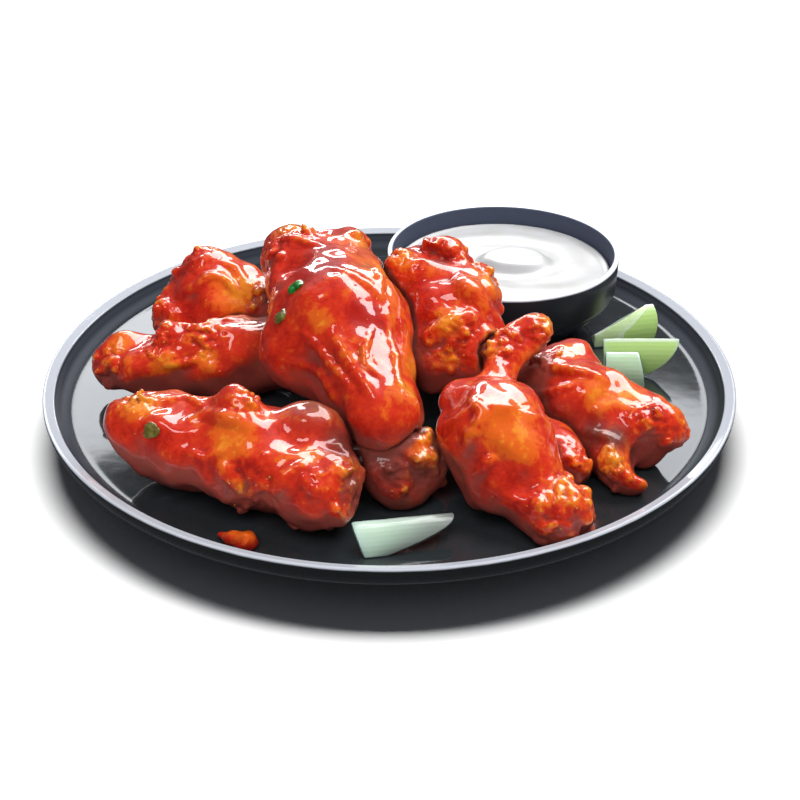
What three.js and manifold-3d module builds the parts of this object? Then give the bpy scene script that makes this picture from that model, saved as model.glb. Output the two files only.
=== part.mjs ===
// A serving of sauced chicken wings on a dark coupe plate, with a bowl of creamy dip,
// cut celery and a loose crumb of crust.
// Millimetres, +Z up. The origin is the middle of the plate's foot, on the table.
// +X runs to the right of the serving and +Y to its back, where the dip bowl stands.

import * as THREE from 'three';
import { mergeVertices } from 'three/addons/utils/BufferGeometryUtils.js';
import Module from 'manifold-3d';

// ---------------------------------------------------------------- driving dimensions

const PLATE = {
  rimRadius: 127,        // outer edge of the lip, a 254 mm coupe plate
  lipWidth: 4.2,         // pale band on top of the wall
  lipHeight: 17,         // top of the lip above the table
  lipDrop: 1.1,          // how far the lip slopes down to the well
  floorHeight: 10,       // top of the well
  floorRadius: 115.5,    // where the well starts to turn up
  curveRise: 3.6,        // height of the curve between well and wall
  footRadius: 83,
  footWidth: 5,
  footHeight: 2.2,       // depth of the recess inside the foot ring
  footSlope: 0.8,        // run of the foot ring's inner side
  footFillet: [3, 1.2],  // run and rise from the foot ring to the underside
  flare: [15, 3],        // where the underside starts to turn up: in from the rim, above the foot
  lipRound: 0.9,
  lipEase: 0.5,          // eased edge between the lip and the wall
  wallLean: 0.9,
  sides: 64,
};

const BOWL = {
  centre: [44.5, 47],
  rimRadius: 45.6,
  height: 31.5,
  lipWidth: 2.2,
  floorThickness: 4.8,
  lipRound: 0.8,
  lipEase: 0.6,
  wallDrop: 14,          // straight upper part of the wall
  baseRadius: 29,
  footHeight: 1.2,
  footWidth: 4,
  footSlope: 1,
  belly: 5,              // how far the curve from base to wall swings below its end
  sides: 44,
};

const DIP = {
  depthBelowRim: 7.6,    // level of the cream under the rim
  swirlAt: [5, 4],       // middle of the dollop, from the bowl's middle
  swirlReach: [15.5, 12],
  swirlRise: 2,
  skirt: 1,              // the cream's edge turns down this far from the wall's top
  rings: 6,
};

// Sticks of celery: crescents in section. Each lies from one end to the other and is turned by
// roll about its length: at 0 its back faces up, at 90 to its right. At each end, a cut is the
// lean of the knife (run per unit of width), how far across the width the lean goes on, and how
// far the middle of the cut stands out along the stick.
const CELERY = [
  {
    name: 'celery_back', from: [85.5, 28.4], to: [103.5, 32], radius: 11, thickness: 7,
    span: 86, roll: 62,
    cuts: [[-2.15, 3, 0], [-0.1, 20, 1]],
  },
  {
    name: 'celery_right', from: [80, 1.8], to: [102.5, 1.8], radius: 10.5, thickness: 3.6,
    span: 86, roll: 76,
    cuts: [[0, 20, 0], [-0.85, 20, 2.4]],
  },
  {
    name: 'celery_end', from: [80, -5.8], to: [93.5, -6.2], radius: 9, thickness: 3.6, span: 94, roll: 64,
    cuts: [[0, 20, 0], [0.2, 20, 0]],
  },
  {
    name: 'celery_front', from: [-9, -108.5], to: [10, -105.4], radius: 8.5, thickness: 3.4,
    span: 88, roll: 38,
    cuts: [[0.25, 20, -0.5], [-2.1, 20, 4.2]],
  },
];
const CELERY_FACETS = 9;

const CRUMB = {
  name: 'crust_crumb', from: [-51.5, -102.5, 12], to: [-43, -106.5, 12.2], girth: 2.7, seed: 31,
};
const HERB = { reach: [3.1, 2.3, 1.5], sides: 8, rings: 5 };

const GAP = 0.32;          // air between pieces that rest on each other
const WING_CELL = 5.1;     // lattice cell of the wings' surface
const CRUMB_CELL = 2.2;
const MELT = 7;            // how softly one part of a wing flows into the next
const BROAD_WAVES = { length: 27, height: 1 };
const FINE_WAVES = { length: 13, height: 0.35 };

// ---------------------------------------------------------------- vectors and fields

const vec = (x, y, z) => new THREE.Vector3(x, y, z);
const UP = vec(0, 0, 1);
const mix = (a, b, t) => a + (b - a) * t;
const rad = THREE.MathUtils.degToRad;

// Blend of two distances, rounded over the width k where they meet.
function melt(a, b, k) {
  const h = Math.max(k - Math.abs(a - b), 0) / k;
  return Math.min(a, b) - h * h * k * 0.25;
}

// Distance to a limb: a ball of radius ra at a, tapering to radius rb at b.
function limb(a, ra, b, rb) {
  const ab = b.clone().sub(a);
  const lengthSq = Math.max(ab.lengthSq(), 1e-6);
  const toPoint = vec(0, 0, 0);
  return (p) => {
    toPoint.subVectors(p, a);
    const t = THREE.MathUtils.clamp(toPoint.dot(ab) / lengthSq, 0, 1);
    return toPoint.addScaledVector(ab, -t).length() - mix(ra, rb, t);
  };
}

// Waves that never line up: the lumps that frying and sauce leave on the skin.
function skinWaves(p, wavelength, seed) {
  const k = (2 * Math.PI) / wavelength;
  const a = p.x * k + seed * 1.7 + 0.9 * Math.sin(p.z * k * 0.63 + seed);
  const b = p.y * k + seed * 2.3 + 0.9 * Math.sin(p.x * k * 0.57 + seed * 2);
  const c = p.z * k + seed * 3.1 + 0.9 * Math.sin(p.y * k * 0.71 + seed * 3);
  return (Math.sin(a) * Math.cos(b) + Math.sin(b) * Math.cos(c) + Math.sin(c) * Math.cos(a)) / 1.5;
}

// ---------------------------------------------------------------- wings

// The axes of a piece that lies from one end to the other.
function axesOf(from, to) {
  const along = to.clone().sub(from);
  const length = along.length();
  along.normalize();
  const side = vec(0, 0, 0).crossVectors(along, UP).normalize();
  const above = vec(0, 0, 0).crossVectors(side, along).normalize();
  return { along, side, above, length };
}

// A point given by its share of the length, a turn about the axis (0 is up, 90 to the right
// when looking from the first end to the second) and a distance from the axis. The axis itself
// bows to the right by bow[0] and upwards by bow[1] half way along.
function aroundAxis(spec, share, turn, reach) {
  const { along, side, above, length } = spec.axes;
  const bulge = 4 * share * (1 - share);
  return spec.from.clone()
    .addScaledVector(along, share * length)
    .addScaledVector(side, spec.bow[0] * bulge + Math.sin(rad(turn)) * reach)
    .addScaledVector(above, spec.bow[1] * bulge + Math.cos(rad(turn)) * reach);
}

// A drumette: a ball of meat that narrows to a waist and a shaft and ends in the knob of the bone.
function drumetteLimbs(spec) {
  const { girth, crown, fullest, waist, shaft, knob } = spec;
  const at = (share) => aroundAxis(spec, share, 0, 0);
  return [
    limb(at(0), girth * crown, at(fullest), girth),
    limb(at(fullest), girth, at(waist[0]), waist[1]),
    limb(at(waist[0]), waist[1], at(0.97), shaft),
    limb(at(0.98), knob, at(1), knob),
  ];
}

// A flat: two bones side by side under one skin, with meat between them. They part from
// spread[0] at the first end to spread[1] at the second.
function flatLimbs(spec) {
  const { girth, shaft, knob, spread, fullest } = spec;
  const turn = 90 + spec.roll;
  const at = (share, reach) => aroundAxis(spec, share, turn, reach);
  return [
    limb(at(0, spread[0] * 0.5), girth * 0.78, at(1, spread[1] * 0.5), shaft),
    limb(at(0.02, -spread[0] * 0.5), girth * 0.78, at(0.94, -spread[1] * 0.5), shaft * 0.92),
    limb(at(0.08, 0), girth * 0.86, at(fullest, 0), girth),
    limb(at(fullest, 0), girth, at(0.8, -spread[1] * 0.2), mix(girth, shaft, 0.8)),
    limb(at(1, spread[1] * 0.45), knob, at(1.02, spread[1] * 0.3), knob * 0.9),
  ];
}

// Each wing lies from its meaty end to its bony end. A lump or a dent is
// [share of the length, turn about the axis, reach from the axis, radius].
const WINGS = [
  {
    name: 'flat_front_left', build: flatLimbs, seed: 3, colour: 0xd8331c,
    from: [-76, -67, 27], to: [-19, -90, 23], girth: 14.5, shaft: 12, knob: 10, fullest: 0.6,
    spread: [6, 14], roll: -20, bow: [0, 2],
    lumps: [[-0.12, 20, 4, 9], [0.45, -14, 15, 6], [0.95, 160, 6, 9], [0.84, -42, 11, 11]],
    dents: [[0.2, 10, 21, 8]],
    herbs: [[0.1, 53]],
  },
  {
    name: 'flat_left', build: flatLimbs, seed: 5, colour: 0xd2371c,
    from: [-42, -8, 25], to: [-95, -14, 23], girth: 13, shaft: 8, knob: 7.5, fullest: 0.3,
    spread: [6, 9], roll: -10, bow: [0, 0],
    lumps: [[0.72, 8, 12, 4.5], [1.17, 120, 4, 5]],
    dents: [[0.88, 0, 17, 6]],
    herbs: [],
  },
  {
    name: 'drumette_back_left', build: drumetteLimbs, seed: 8, colour: 0xdc3e1c,
    from: [-69, 23, 28], to: [-28, 12, 26], girth: 19, crown: 0.86, fullest: 0.12,
    waist: [0.65, 11], shaft: 9,
    knob: 9.5, bow: [0, 0],
    lumps: [[0.0, -10, 17, 7], [-0.2, -60, 8, 8], [-0.22, 100, 9, 9]],
    dents: [],
    herbs: [],
  },
  {
    name: 'flat_right', build: flatLimbs, seed: 11, colour: 0xdc3b1a,
    from: [57, -33, 27], to: [83, -68, 20], girth: 12.5, shaft: 6.2, knob: 5.4, fullest: 0.35,
    spread: [6, 18], roll: 14, bow: [0, 1],
    lumps: [
      [0.0, -60, 8, 9], [0.55, -70, 9, 8], [0.92, -75, 13, 8], [1.12, 117, 6.5, 5],
      [0.72, -72, 9, 9], [0.92, -130, 6, 6],
    ],
    dents: [[1.12, 45, 3, 6.5]],
    herbs: [],
  },
  {
    name: 'wing_under_front', build: drumetteLimbs, seed: 14, colour: 0x8e2a1c,
    from: [-8, -50, 21], to: [3, -80, 19], girth: 11, crown: 0.84, fullest: 0.3,
    waist: [0.72, 10], shaft: 9.5,
    knob: 9.5, bow: [0, 0],
    lumps: [[0.97, -77, 10, 7.2], [0.75, -60, 7, 8]],
    dents: [],
    herbs: [],
  },
  {
    name: 'wing_under_right', build: drumetteLimbs, seed: 17, colour: 0xa02c1a,
    from: [46, -38, 20], to: [57, -73, 18], girth: 9.5, crown: 0.84, fullest: 0.3,
    waist: [0.72, 7.5], shaft: 7,
    knob: 6.5, bow: [0, 0],
    lumps: [[1.02, 0, 4, 5]],
    dents: [],
    herbs: [],
  },
  {
    name: 'drumette_front', build: drumetteLimbs, seed: 20, colour: 0xe0421a,
    from: [46.5, -94, 20], to: [50, -36.5, 50], girth: 17.5, crown: 0.56, fullest: 0.32,
    waist: [0.62, 4.6], shaft: 5.4,
    knob: 5.3, bow: [-14.5, 2],
    lumps: [
      [-0.06, 70, 6, 6.5], [-0.08, -30, 4, 7], [0.1, -90, 7, 11], [-0.12, 160, 5, 7],
      [0.48, -95, 8, 9], [0.93, -85, 4.6, 5.4], [0.83, -85, 3, 5.4],
    ],
    dents: [],
    herbs: [],
  },
  {
    name: 'drumette_centre', build: drumetteLimbs, seed: 23, colour: 0xe0441c,
    from: [24, -33, 41], to: [15, -3, 52], girth: 16, crown: 0.84, fullest: 0.3,
    waist: [0.72, 12.5], shaft: 12,
    knob: 9, bow: [0, 1],
    lumps: [
      [1.0, -60, 13, 7], [1.0, 50, 8, 6.5], [0.62, 70, 14, 7], [-0.1, 100, 10, 9], [-0.1, -110, 10, 9],
      [0.55, 171, 18, 12], [0.72, 170, 31, 11], [0.34, 42, 13, 6], [-0.35, 40, 8, 9],
    ],
    dents: [[0.8, 0, 20, 6]],
    herbs: [],
  },
  {
    name: 'drumette_top', build: drumetteLimbs, seed: 26, colour: 0xe0451a,
    from: [-33, 7, 56], to: [-1, -72, 35], girth: 23.5, crown: 0.57, fullest: 0.5,
    waist: [0.8, 14.8], shaft: 11.8,
    knob: 11.6, bow: [-1, 0],
    lumps: [[0.06, -82, 14, 12], [0.28, -80, 11, 14], [0.54, 96, 18, 12]],
    dents: [[-0.04, -38, 17, 6.5], [0.2, 32, 22, 7]],
    herbs: [[0.42, 40], [0.49, 62]],
  },
];

// Distance to the skin of one wing, lumps and waves included.
function wingField(spec) {
  const limbs = spec.build(spec);
  for (const [share, turn, reach, radius] of spec.lumps) {
    const centre = aroundAxis(spec, share, turn, reach);
    limbs.push(limb(centre, radius, centre, radius));
  }
  const dents = spec.dents.map(([share, turn, reach, radius]) => {
    const centre = aroundAxis(spec, share, turn, reach);
    return limb(centre, radius, centre, radius);
  });
  return (p) => {
    let distance = limbs[0](p);
    for (const part of limbs.slice(1)) {
      distance = melt(distance, part(p), MELT);
    }
    for (const dent of dents) {
      distance = -melt(-distance, dent(p), MELT);
    }
    for (const waves of [BROAD_WAVES, FINE_WAVES]) {
      distance -= waves.height * skinWaves(p, waves.length, spec.seed);
    }
    return distance;
  };
}

// Height of the plate's inner surface at a distance from its middle.
function wellHeight(radius) {
  const { rimRadius, lipWidth, floorRadius, floorHeight, curveRise } = PLATE;
  const climb = Math.max(radius - floorRadius, 0) / (rimRadius - lipWidth - floorRadius);
  return floorHeight + curveRise * 1.4 * climb * climb;
}

const aboveWell = (p) => wellHeight(Math.hypot(p.x, p.y)) + GAP - p.z;

// A piece that lies on others takes their shape where it touches them.
function restedField(own, below) {
  return (p) => {
    let distance = Math.max(own(p), aboveWell(p));
    for (const other of below) {
      distance = Math.max(distance, GAP * 2.2 - other(p));
    }
    return distance;
  };
}

// ---------------------------------------------------------------- surface of a field

// Twelve edges of a lattice cell, as pairs of its eight corners.
const CORNERS = [...Array(8).keys()].map((i) => [i & 1, (i >> 1) & 1, (i >> 2) & 1]);
const EDGES = [];
for (let a = 0; a < 8; a++) {
  for (const bit of [1, 2, 4]) {
    if (!(a & bit)) {
      EDGES.push([a, a | bit]);
    }
  }
}

// Moves a point onto the surface along the field's slope, by no more than the given reach.
function settle(field, point, reach) {
  const step = 0.05;
  const start = point.clone();
  const probe = vec(0, 0, 0);
  for (let round = 0; round < 3; round++) {
    const here = field(point);
    const slope = vec(0, 0, 0);
    for (const axis of ['x', 'y', 'z']) {
      probe.copy(point);
      probe[axis] += step;
      slope[axis] = (field(probe) - here) / step;
    }
    point.addScaledVector(slope, -here / Math.max(slope.lengthSq(), 0.25));
  }
  const moved = point.clone().sub(start);
  return start.addScaledVector(moved, Math.min(1, reach / Math.max(moved.length(), 1e-9)));
}

// Where the corners of a lattice square lie in and out by turns, the surface would pinch to a
// line. The shallower inner corner is moved just outside, until no such square is left.
function openPinches(values, size, index) {
  const outside = 1e-3;
  const planes = [[[1, 0, 0], [0, 1, 0]], [[0, 1, 0], [0, 0, 1]], [[0, 0, 1], [1, 0, 0]]];
  const turns = [[0, 0], [1, 0], [1, 1], [0, 1]];
  let found = true;
  while (found) {
    found = false;
    for (let k = 0; k < size.z - 1; k++) {
      for (let j = 0; j < size.y - 1; j++) {
        for (let i = 0; i < size.x - 1; i++) {
          for (const [u, v] of planes) {
            const ring = turns.map(([su, sv]) => index(
              i + su * u[0] + sv * v[0], j + su * u[1] + sv * v[1], k + su * u[2] + sv * v[2]));
            const inner = ring.filter((corner) => values[corner] < 0);
            if (inner.length === 2 && (values[ring[0]] < 0) === (values[ring[2]] < 0)) {
              const shallow = values[inner[0]] > values[inner[1]] ? inner[0] : inner[1];
              values[shallow] = outside;
              found = true;
            }
          }
        }
      }
    }
  }
}

// One closed mesh of the surface where the field is zero, inside a box of lattice cells.
function surfaceOf(field, box, cell) {
  const low = box.min.clone().divideScalar(cell).floor();
  const size = box.max.clone().divideScalar(cell).ceil().sub(low).addScalar(1);
  const [nx, ny, nz] = [size.x, size.y, size.z];
  const cornerAt = (i, j, k) => vec(low.x + i, low.y + j, low.z + k).multiplyScalar(cell);
  const index = (i, j, k) => (k * ny + j) * nx + i;
  const values = new Float64Array(nx * ny * nz);
  for (let k = 0; k < nz; k++) {
    for (let j = 0; j < ny; j++) {
      for (let i = 0; i < nx; i++) {
        values[index(i, j, k)] = field(cornerAt(i, j, k));
      }
    }
  }
  openPinches(values, size, index);
  const vertexOf = new Map();
  const positions = [];
  for (let k = 0; k < nz - 1; k++) {
    for (let j = 0; j < ny - 1; j++) {
      for (let i = 0; i < nx - 1; i++) {
        const sum = vec(0, 0, 0);
        let crossings = 0;
        for (const [a, b] of EDGES) {
          const [ca, cb] = [CORNERS[a], CORNERS[b]];
          const fa = values[index(i + ca[0], j + ca[1], k + ca[2])];
          const fb = values[index(i + cb[0], j + cb[1], k + cb[2])];
          if ((fa < 0) !== (fb < 0)) {
            const t = fa / (fa - fb);
            sum.x += mix(ca[0], cb[0], t);
            sum.y += mix(ca[1], cb[1], t);
            sum.z += mix(ca[2], cb[2], t);
            crossings += 1;
          }
        }
        if (crossings > 0) {
          const point = cornerAt(i, j, k).addScaledVector(sum, cell / crossings);
          const settled = settle(field, point, cell * 0.3);
          vertexOf.set(index(i, j, k), positions.length / 3);
          positions.push(settled.x, settled.y, settled.z);
        }
      }
    }
  }
  const faces = [];
  const strides = [[1, 0, 0], [0, 1, 0], [0, 0, 1]];
  for (let k = 1; k < nz - 1; k++) {
    for (let j = 1; j < ny - 1; j++) {
      for (let i = 1; i < nx - 1; i++) {
        const here = values[index(i, j, k)] < 0;
        strides.forEach((stride, axis) => {
          const there = values[index(i + stride[0], j + stride[1], k + stride[2])] < 0;
          if (here === there) {
            return;
          }
          const u = strides[(axis + 1) % 3];
          const v = strides[(axis + 2) % 3];
          const cellAt = (su, sv) => vertexOf.get(index(
            i - su * u[0] - sv * v[0], j - su * u[1] - sv * v[1], k - su * u[2] - sv * v[2]));
          const ring = [cellAt(0, 0), cellAt(1, 0), cellAt(1, 1), cellAt(0, 1)];
          if (!here) {
            ring.reverse();
          }
          pushQuad(faces, positions, ring);
        });
      }
    }
  }
  const geometry = new THREE.BufferGeometry();
  geometry.setAttribute('position', new THREE.Float32BufferAttribute(positions, 3));
  geometry.setIndex(faces);
  return geometry;
}

// Two triangles of a four-sided ring, split along its shorter diagonal.
function pushQuad(faces, positions, ring) {
  const corner = (n) => vec(...positions.slice(ring[n] * 3, ring[n] * 3 + 3));
  if (corner(0).distanceTo(corner(2)) < corner(1).distanceTo(corner(3))) {
    faces.push(ring[0], ring[1], ring[2], ring[0], ring[2], ring[3]);
  } else {
    faces.push(ring[0], ring[1], ring[3], ring[1], ring[2], ring[3]);
  }
}

// ---------------------------------------------------------------- solids

const wasm = await Module();
wasm.setup();

// The same surface with positions alone, each shared corner kept once.
function mergeBare(geometry) {
  const bare = new THREE.BufferGeometry();
  bare.setAttribute('position', geometry.getAttribute('position'));
  bare.setIndex(geometry.getIndex());
  return mergeVertices(bare, 1e-4);
}

function toSolid(geometry) {
  const merged = mergeBare(geometry);
  return new wasm.Manifold(new wasm.Mesh({
    numProp: 3,
    vertProperties: new Float32Array(merged.getAttribute('position').array),
    triVerts: new Uint32Array(merged.getIndex().array),
  }));
}

function toGeometry(solid) {
  const mesh = solid.getMesh();
  const geometry = new THREE.BufferGeometry();
  geometry.setAttribute('position', new THREE.Float32BufferAttribute(mesh.vertProperties, 3));
  geometry.setIndex(new THREE.Uint32BufferAttribute(mesh.triVerts, 1));
  return geometry;
}

const serving = new THREE.Group();
serving.name = 'chicken_wings_serving';

function addPiece(name, geometry, colour, roughness) {
  const material = new THREE.MeshStandardMaterial({ color: colour, roughness, metalness: 0 });
  const mesh = new THREE.Mesh(geometry, material);
  mesh.name = name;
  serving.add(mesh);
  return mesh;
}

// A turned body about +Z from a profile of [radius, height] points.
function turned(profile, sides) {
  const points = profile.map(([radius, height]) => new THREE.Vector2(radius, height));
  return new THREE.LatheGeometry(points, sides).rotateX(Math.PI / 2);
}

// Points of a quarter arc between two [radius, height] points, bulging towards the corner given.
function bend(start, corner, end, steps) {
  const curve = new THREE.QuadraticBezierCurve(
    new THREE.Vector2(...start), new THREE.Vector2(...corner), new THREE.Vector2(...end));
  return curve.getPoints(steps).map((point) => [point.x, point.y]);
}

function plateGeometry() {
  const p = PLATE;
  const lipInner = p.rimRadius - p.lipWidth;
  const footInner = p.footRadius - p.footWidth;
  const wallInner = lipInner - p.wallLean;
  const [flareIn, flareUp] = p.flare;
  const profile = [
    [0, p.footHeight],
    [footInner, p.footHeight],
    [footInner + p.footSlope, 0],
    [p.footRadius, 0],
    [p.footRadius + p.footFillet[0], p.footHeight + p.footFillet[1]],
    ...bend([p.rimRadius - flareIn, p.footHeight + flareUp],
      [p.rimRadius - p.lipRound, p.footHeight + flareUp + p.footFillet[1]],
      [p.rimRadius, p.lipHeight - p.footFillet[1]], 3),
    [p.rimRadius - p.lipRound, p.lipHeight],
    [lipInner + p.lipEase, p.lipHeight - p.lipDrop],
    [lipInner, p.lipHeight - p.lipDrop - p.lipEase],
    ...bend([wallInner, p.floorHeight + p.curveRise], [wallInner - p.wallLean, p.floorHeight],
      [p.floorRadius, p.floorHeight], 3),
    [0, p.floorHeight],
  ];
  return turned(profile, p.sides);
}

// The hollow of the bowl, from its middle up to the lip, drawn in by a margin all over.
function bowlHollow(margin) {
  const b = BOWL;
  const inner = b.rimRadius - b.lipWidth - margin;
  const floor = b.floorThickness + margin;
  return [
    [0, floor],
    ...bend([b.baseRadius - b.footWidth, floor], [inner - b.belly, floor + b.footSlope],
      [inner - b.lipEase, b.height - b.wallDrop], 4),
    [inner, b.height - b.lipEase],
  ];
}

function bowlGeometry() {
  const b = BOWL;
  const inner = b.rimRadius - b.lipWidth;
  const profile = [
    [0, b.footHeight],
    [b.baseRadius - b.footWidth - b.footSlope, b.footHeight],
    [b.baseRadius - b.footWidth, 0],
    [b.baseRadius, 0],
    ...bend([b.baseRadius + b.footHeight, b.lipRound],
      [b.rimRadius - b.footWidth, b.height - b.wallDrop - b.belly],
      [b.rimRadius - b.lipEase, b.height - b.wallDrop], 3),
    [b.rimRadius, b.height - b.lipRound],
    [b.rimRadius - b.lipRound, b.height],
    [inner + b.lipEase / 2, b.height],
    ...bowlHollow(0).reverse(),
  ];
  return turned(profile, b.sides);
}

// The cream: it fills the bowl to its level, with a soft dollop near the middle.
function dipGeometry() {
  const level = BOWL.height - DIP.depthBelowRim;
  const wall = bowlHollow(GAP).filter(([, height]) => height < level - DIP.skirt);
  const edge = BOWL.rimRadius - BOWL.lipWidth - BOWL.lipEase - GAP;
  const top = [];
  for (let ring = 0; ring <= DIP.rings; ring++) {
    top.push([edge * (1 - ring / DIP.rings), level]);
  }
  const geometry = turned([...wall, [edge, level - DIP.skirt / 2], ...top.slice(1)], BOWL.sides);
  const position = geometry.getAttribute('position');
  for (let i = 0; i < position.count; i++) {
    if (position.getZ(i) > level - 1e-3) {
      const across = (position.getX(i) - DIP.swirlAt[0]) / DIP.swirlReach[0];
      const back = (position.getY(i) - DIP.swirlAt[1]) / DIP.swirlReach[1];
      const near = 1 - THREE.MathUtils.smoothstep(Math.hypot(across, back), 0.35, 1);
      position.setZ(i, level + DIP.swirlRise * near);
    }
  }
  return geometry;
}

// A crescent of celery along +Z, its ends cut askew, laid between its two end points.
function celeryGeometry(spec) {
  const { radius, thickness, span, roll, cuts } = spec;
  const from = vec(...spec.from, 0);
  const to = vec(...spec.to, 0);
  const { along, side, above, length } = axesOf(from, to);
  const half = rad(span / 2);
  const section = new THREE.Shape();
  section.absarc(0, 0, radius, -half, half, false);
  section.absarc(thickness * 0.35, 0, radius - thickness, half * 0.94, -half * 0.94, true);
  const geometry = new THREE.ExtrudeGeometry(section, {
    depth: length, steps: 2, bevelEnabled: false, curveSegments: CELERY_FACETS,
  });
  const position = geometry.getAttribute('position');
  for (let i = 0; i < position.count; i++) {
    const across = position.getY(i);
    const rounding = 1 - (across / (radius * Math.sin(half))) ** 2;
    const [start, end] = cuts.map(
      ([lean, width, belly]) => lean * Math.min(across, width) + belly * rounding);
    position.setZ(i, position.getZ(i) + mix(start, end, position.getZ(i) / length));
  }
  geometry.translate(-radius + thickness / 2, 0, 0).rotateZ(rad(roll));
  geometry.applyMatrix4(new THREE.Matrix4().makeBasis(above, side, along).setPosition(from));
  return mergeBare(geometry);
}

function crumbGeometry(spec) {
  const from = vec(...spec.from);
  const to = vec(...spec.to);
  const middle = from.clone().lerp(to, 0.5);
  const body = limb(from, spec.girth * 0.8, to, spec.girth);
  const flake = limb(middle, spec.girth * 0.9, middle.clone().setZ(middle.z + 2.4), spec.girth * 0.5);
  const own = (p) => melt(body(p), flake(p), 3) - 0.5 * skinWaves(p, 6, spec.seed);
  const box = new THREE.Box3().setFromPoints([from, to]).expandByScalar(spec.girth * 2.5);
  return surfaceOf(restedField(own, []), box, CRUMB_CELL);
}

// A small piece of green herb lying on a wing's skin.
function herbSolid(spec, own, share, turn) {
  const direction = aroundAxis(spec, share, turn, 1).sub(aroundAxis(spec, share, turn, 0));
  let reach = 0;
  while (own(aroundAxis(spec, share, turn, reach)) < 0) {
    reach += 0.25;
  }
  const [long, wide, thick] = HERB.reach;
  const facing = new THREE.Quaternion().setFromUnitVectors(UP, direction);
  const bit = new THREE.SphereGeometry(1, HERB.sides, HERB.rings).scale(long, thick, wide)
    .rotateX(Math.PI / 2)
    .applyQuaternion(facing);
  const place = aroundAxis(spec, share, turn, reach);
  return toSolid(bit.translate(place.x, place.y, place.z));
}

// ---------------------------------------------------------------- assembly

const onWell = PLATE.floorHeight + GAP;
addPiece('plate', plateGeometry(), 0x1e2122, 0.12);
const tableware = [['dip_bowl', bowlGeometry(), 0x24272c], ['dip', dipGeometry(), 0xf6f5f2]];
for (const [name, geometry, colour] of tableware) {
  addPiece(name, geometry, colour, 0.25).position.set(...BOWL.centre, onWell);
}

const laid = [];
for (const spec of WINGS) {
  spec.from = vec(...spec.from);
  spec.to = vec(...spec.to);
  spec.axes = axesOf(spec.from, spec.to);
  const own = wingField(spec);
  const box = new THREE.Box3().setFromPoints([spec.from, spec.to]).expandByScalar(45);
  let geometry = surfaceOf(restedField(own, laid), box, WING_CELL);
  if (spec.herbs.length > 0) {
    const meat = toSolid(geometry);
    const bits = spec.herbs.map(([share, turn]) => herbSolid(spec, own, share, turn));
    geometry = toGeometry(bits.reduce((whole, bit) => whole.add(bit), meat));
  }
  addPiece(spec.name, geometry, spec.colour, 0.3);
  laid.push(own);
}

for (const spec of CELERY) {
  const geometry = celeryGeometry(spec);
  geometry.computeBoundingBox();
  addPiece(spec.name, geometry.translate(0, 0, onWell - geometry.boundingBox.min.z), 0xc3dc9a, 0.35);
}
addPiece(CRUMB.name, crumbGeometry(CRUMB), 0xd83a16, 0.4);

export default serving;
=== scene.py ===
"""A serving of sauced chicken wings on a dark coupe plate, with dip, celery and a crumb of crust.

Sizes in the classes are millimetres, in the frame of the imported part, and become metres where a
mesh is made. Every piece is built at its own place on the plate.
"""

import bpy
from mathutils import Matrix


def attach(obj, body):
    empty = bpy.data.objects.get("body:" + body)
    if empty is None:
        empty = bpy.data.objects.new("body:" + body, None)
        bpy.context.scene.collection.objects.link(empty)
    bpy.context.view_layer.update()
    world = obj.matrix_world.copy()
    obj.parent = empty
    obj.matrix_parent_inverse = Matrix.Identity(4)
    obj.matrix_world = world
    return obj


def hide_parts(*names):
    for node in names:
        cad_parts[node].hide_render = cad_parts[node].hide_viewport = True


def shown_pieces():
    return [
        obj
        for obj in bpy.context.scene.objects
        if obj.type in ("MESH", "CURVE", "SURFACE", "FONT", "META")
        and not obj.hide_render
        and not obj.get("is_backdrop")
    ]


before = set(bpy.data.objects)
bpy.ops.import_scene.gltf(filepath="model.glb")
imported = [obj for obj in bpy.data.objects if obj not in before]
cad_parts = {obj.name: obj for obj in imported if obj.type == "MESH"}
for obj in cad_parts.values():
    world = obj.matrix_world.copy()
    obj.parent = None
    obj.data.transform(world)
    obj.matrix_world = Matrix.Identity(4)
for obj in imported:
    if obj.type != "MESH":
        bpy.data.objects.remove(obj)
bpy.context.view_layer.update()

import logging
import math
from dataclasses import dataclass, field
from enum import Enum
from typing import Callable, Dict, List, Optional, Sequence, Tuple, Union

import bpy
import numpy as np

LOG = logging.getLogger("wings_serving")
MM = 0.001
MM_PER_METRE = 1000.0
BODY = "root"
UP = np.array([0.0, 0.0, 1.0])
FULL_TURN = 2.0 * math.pi
RING = ((0, 0), (1, 0), (1, 1), (0, 1))
FAR = 9.0
TINY = 1e-9

# Room between pieces that touch, how softly forms melt together, and the edge of a pressed place.
GAP = 0.32
MELT = 7.0
CREASE = 1.6

# Length and height of the waves in the skin.
WAVES = ((27.0, 1.0), (13.0, 0.35))

# Shares of a welt's stated height and width that stand in the skin.
WELT_HEIGHT = 0.62
WELT_WIDTH = 0.72

FINE_CELL = 1.45

Points = np.ndarray
Field = Callable[[Points], np.ndarray]
Notes = Dict[str, np.ndarray]
Triple = Tuple[float, float, float]
Pair = Tuple[float, float]
Colour = Tuple[float, ...]
Spot = Tuple[float, float, float, float]
Path = Tuple[Sequence[Pair], float, float]


# ------------------------------------------------------------------ numbers and fields


def linear(red: int, green: int, blue: int) -> Colour:
    """A display colour of 0 to 255 as the linear colour that a shader takes.

    Args:
        red: Red share of the display colour.
        green: Green share of the display colour.
        blue: Blue share of the display colour.

    Returns:
        The linear red, green and blue, with full alpha.
    """
    shares = []
    for value in (red, green, blue):
        share = value / 255.0
        shares.append(share / 12.92 if share <= 0.04045 else ((share + 0.055) / 1.055) ** 2.4)
    return (*shares, 1.0)


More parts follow.
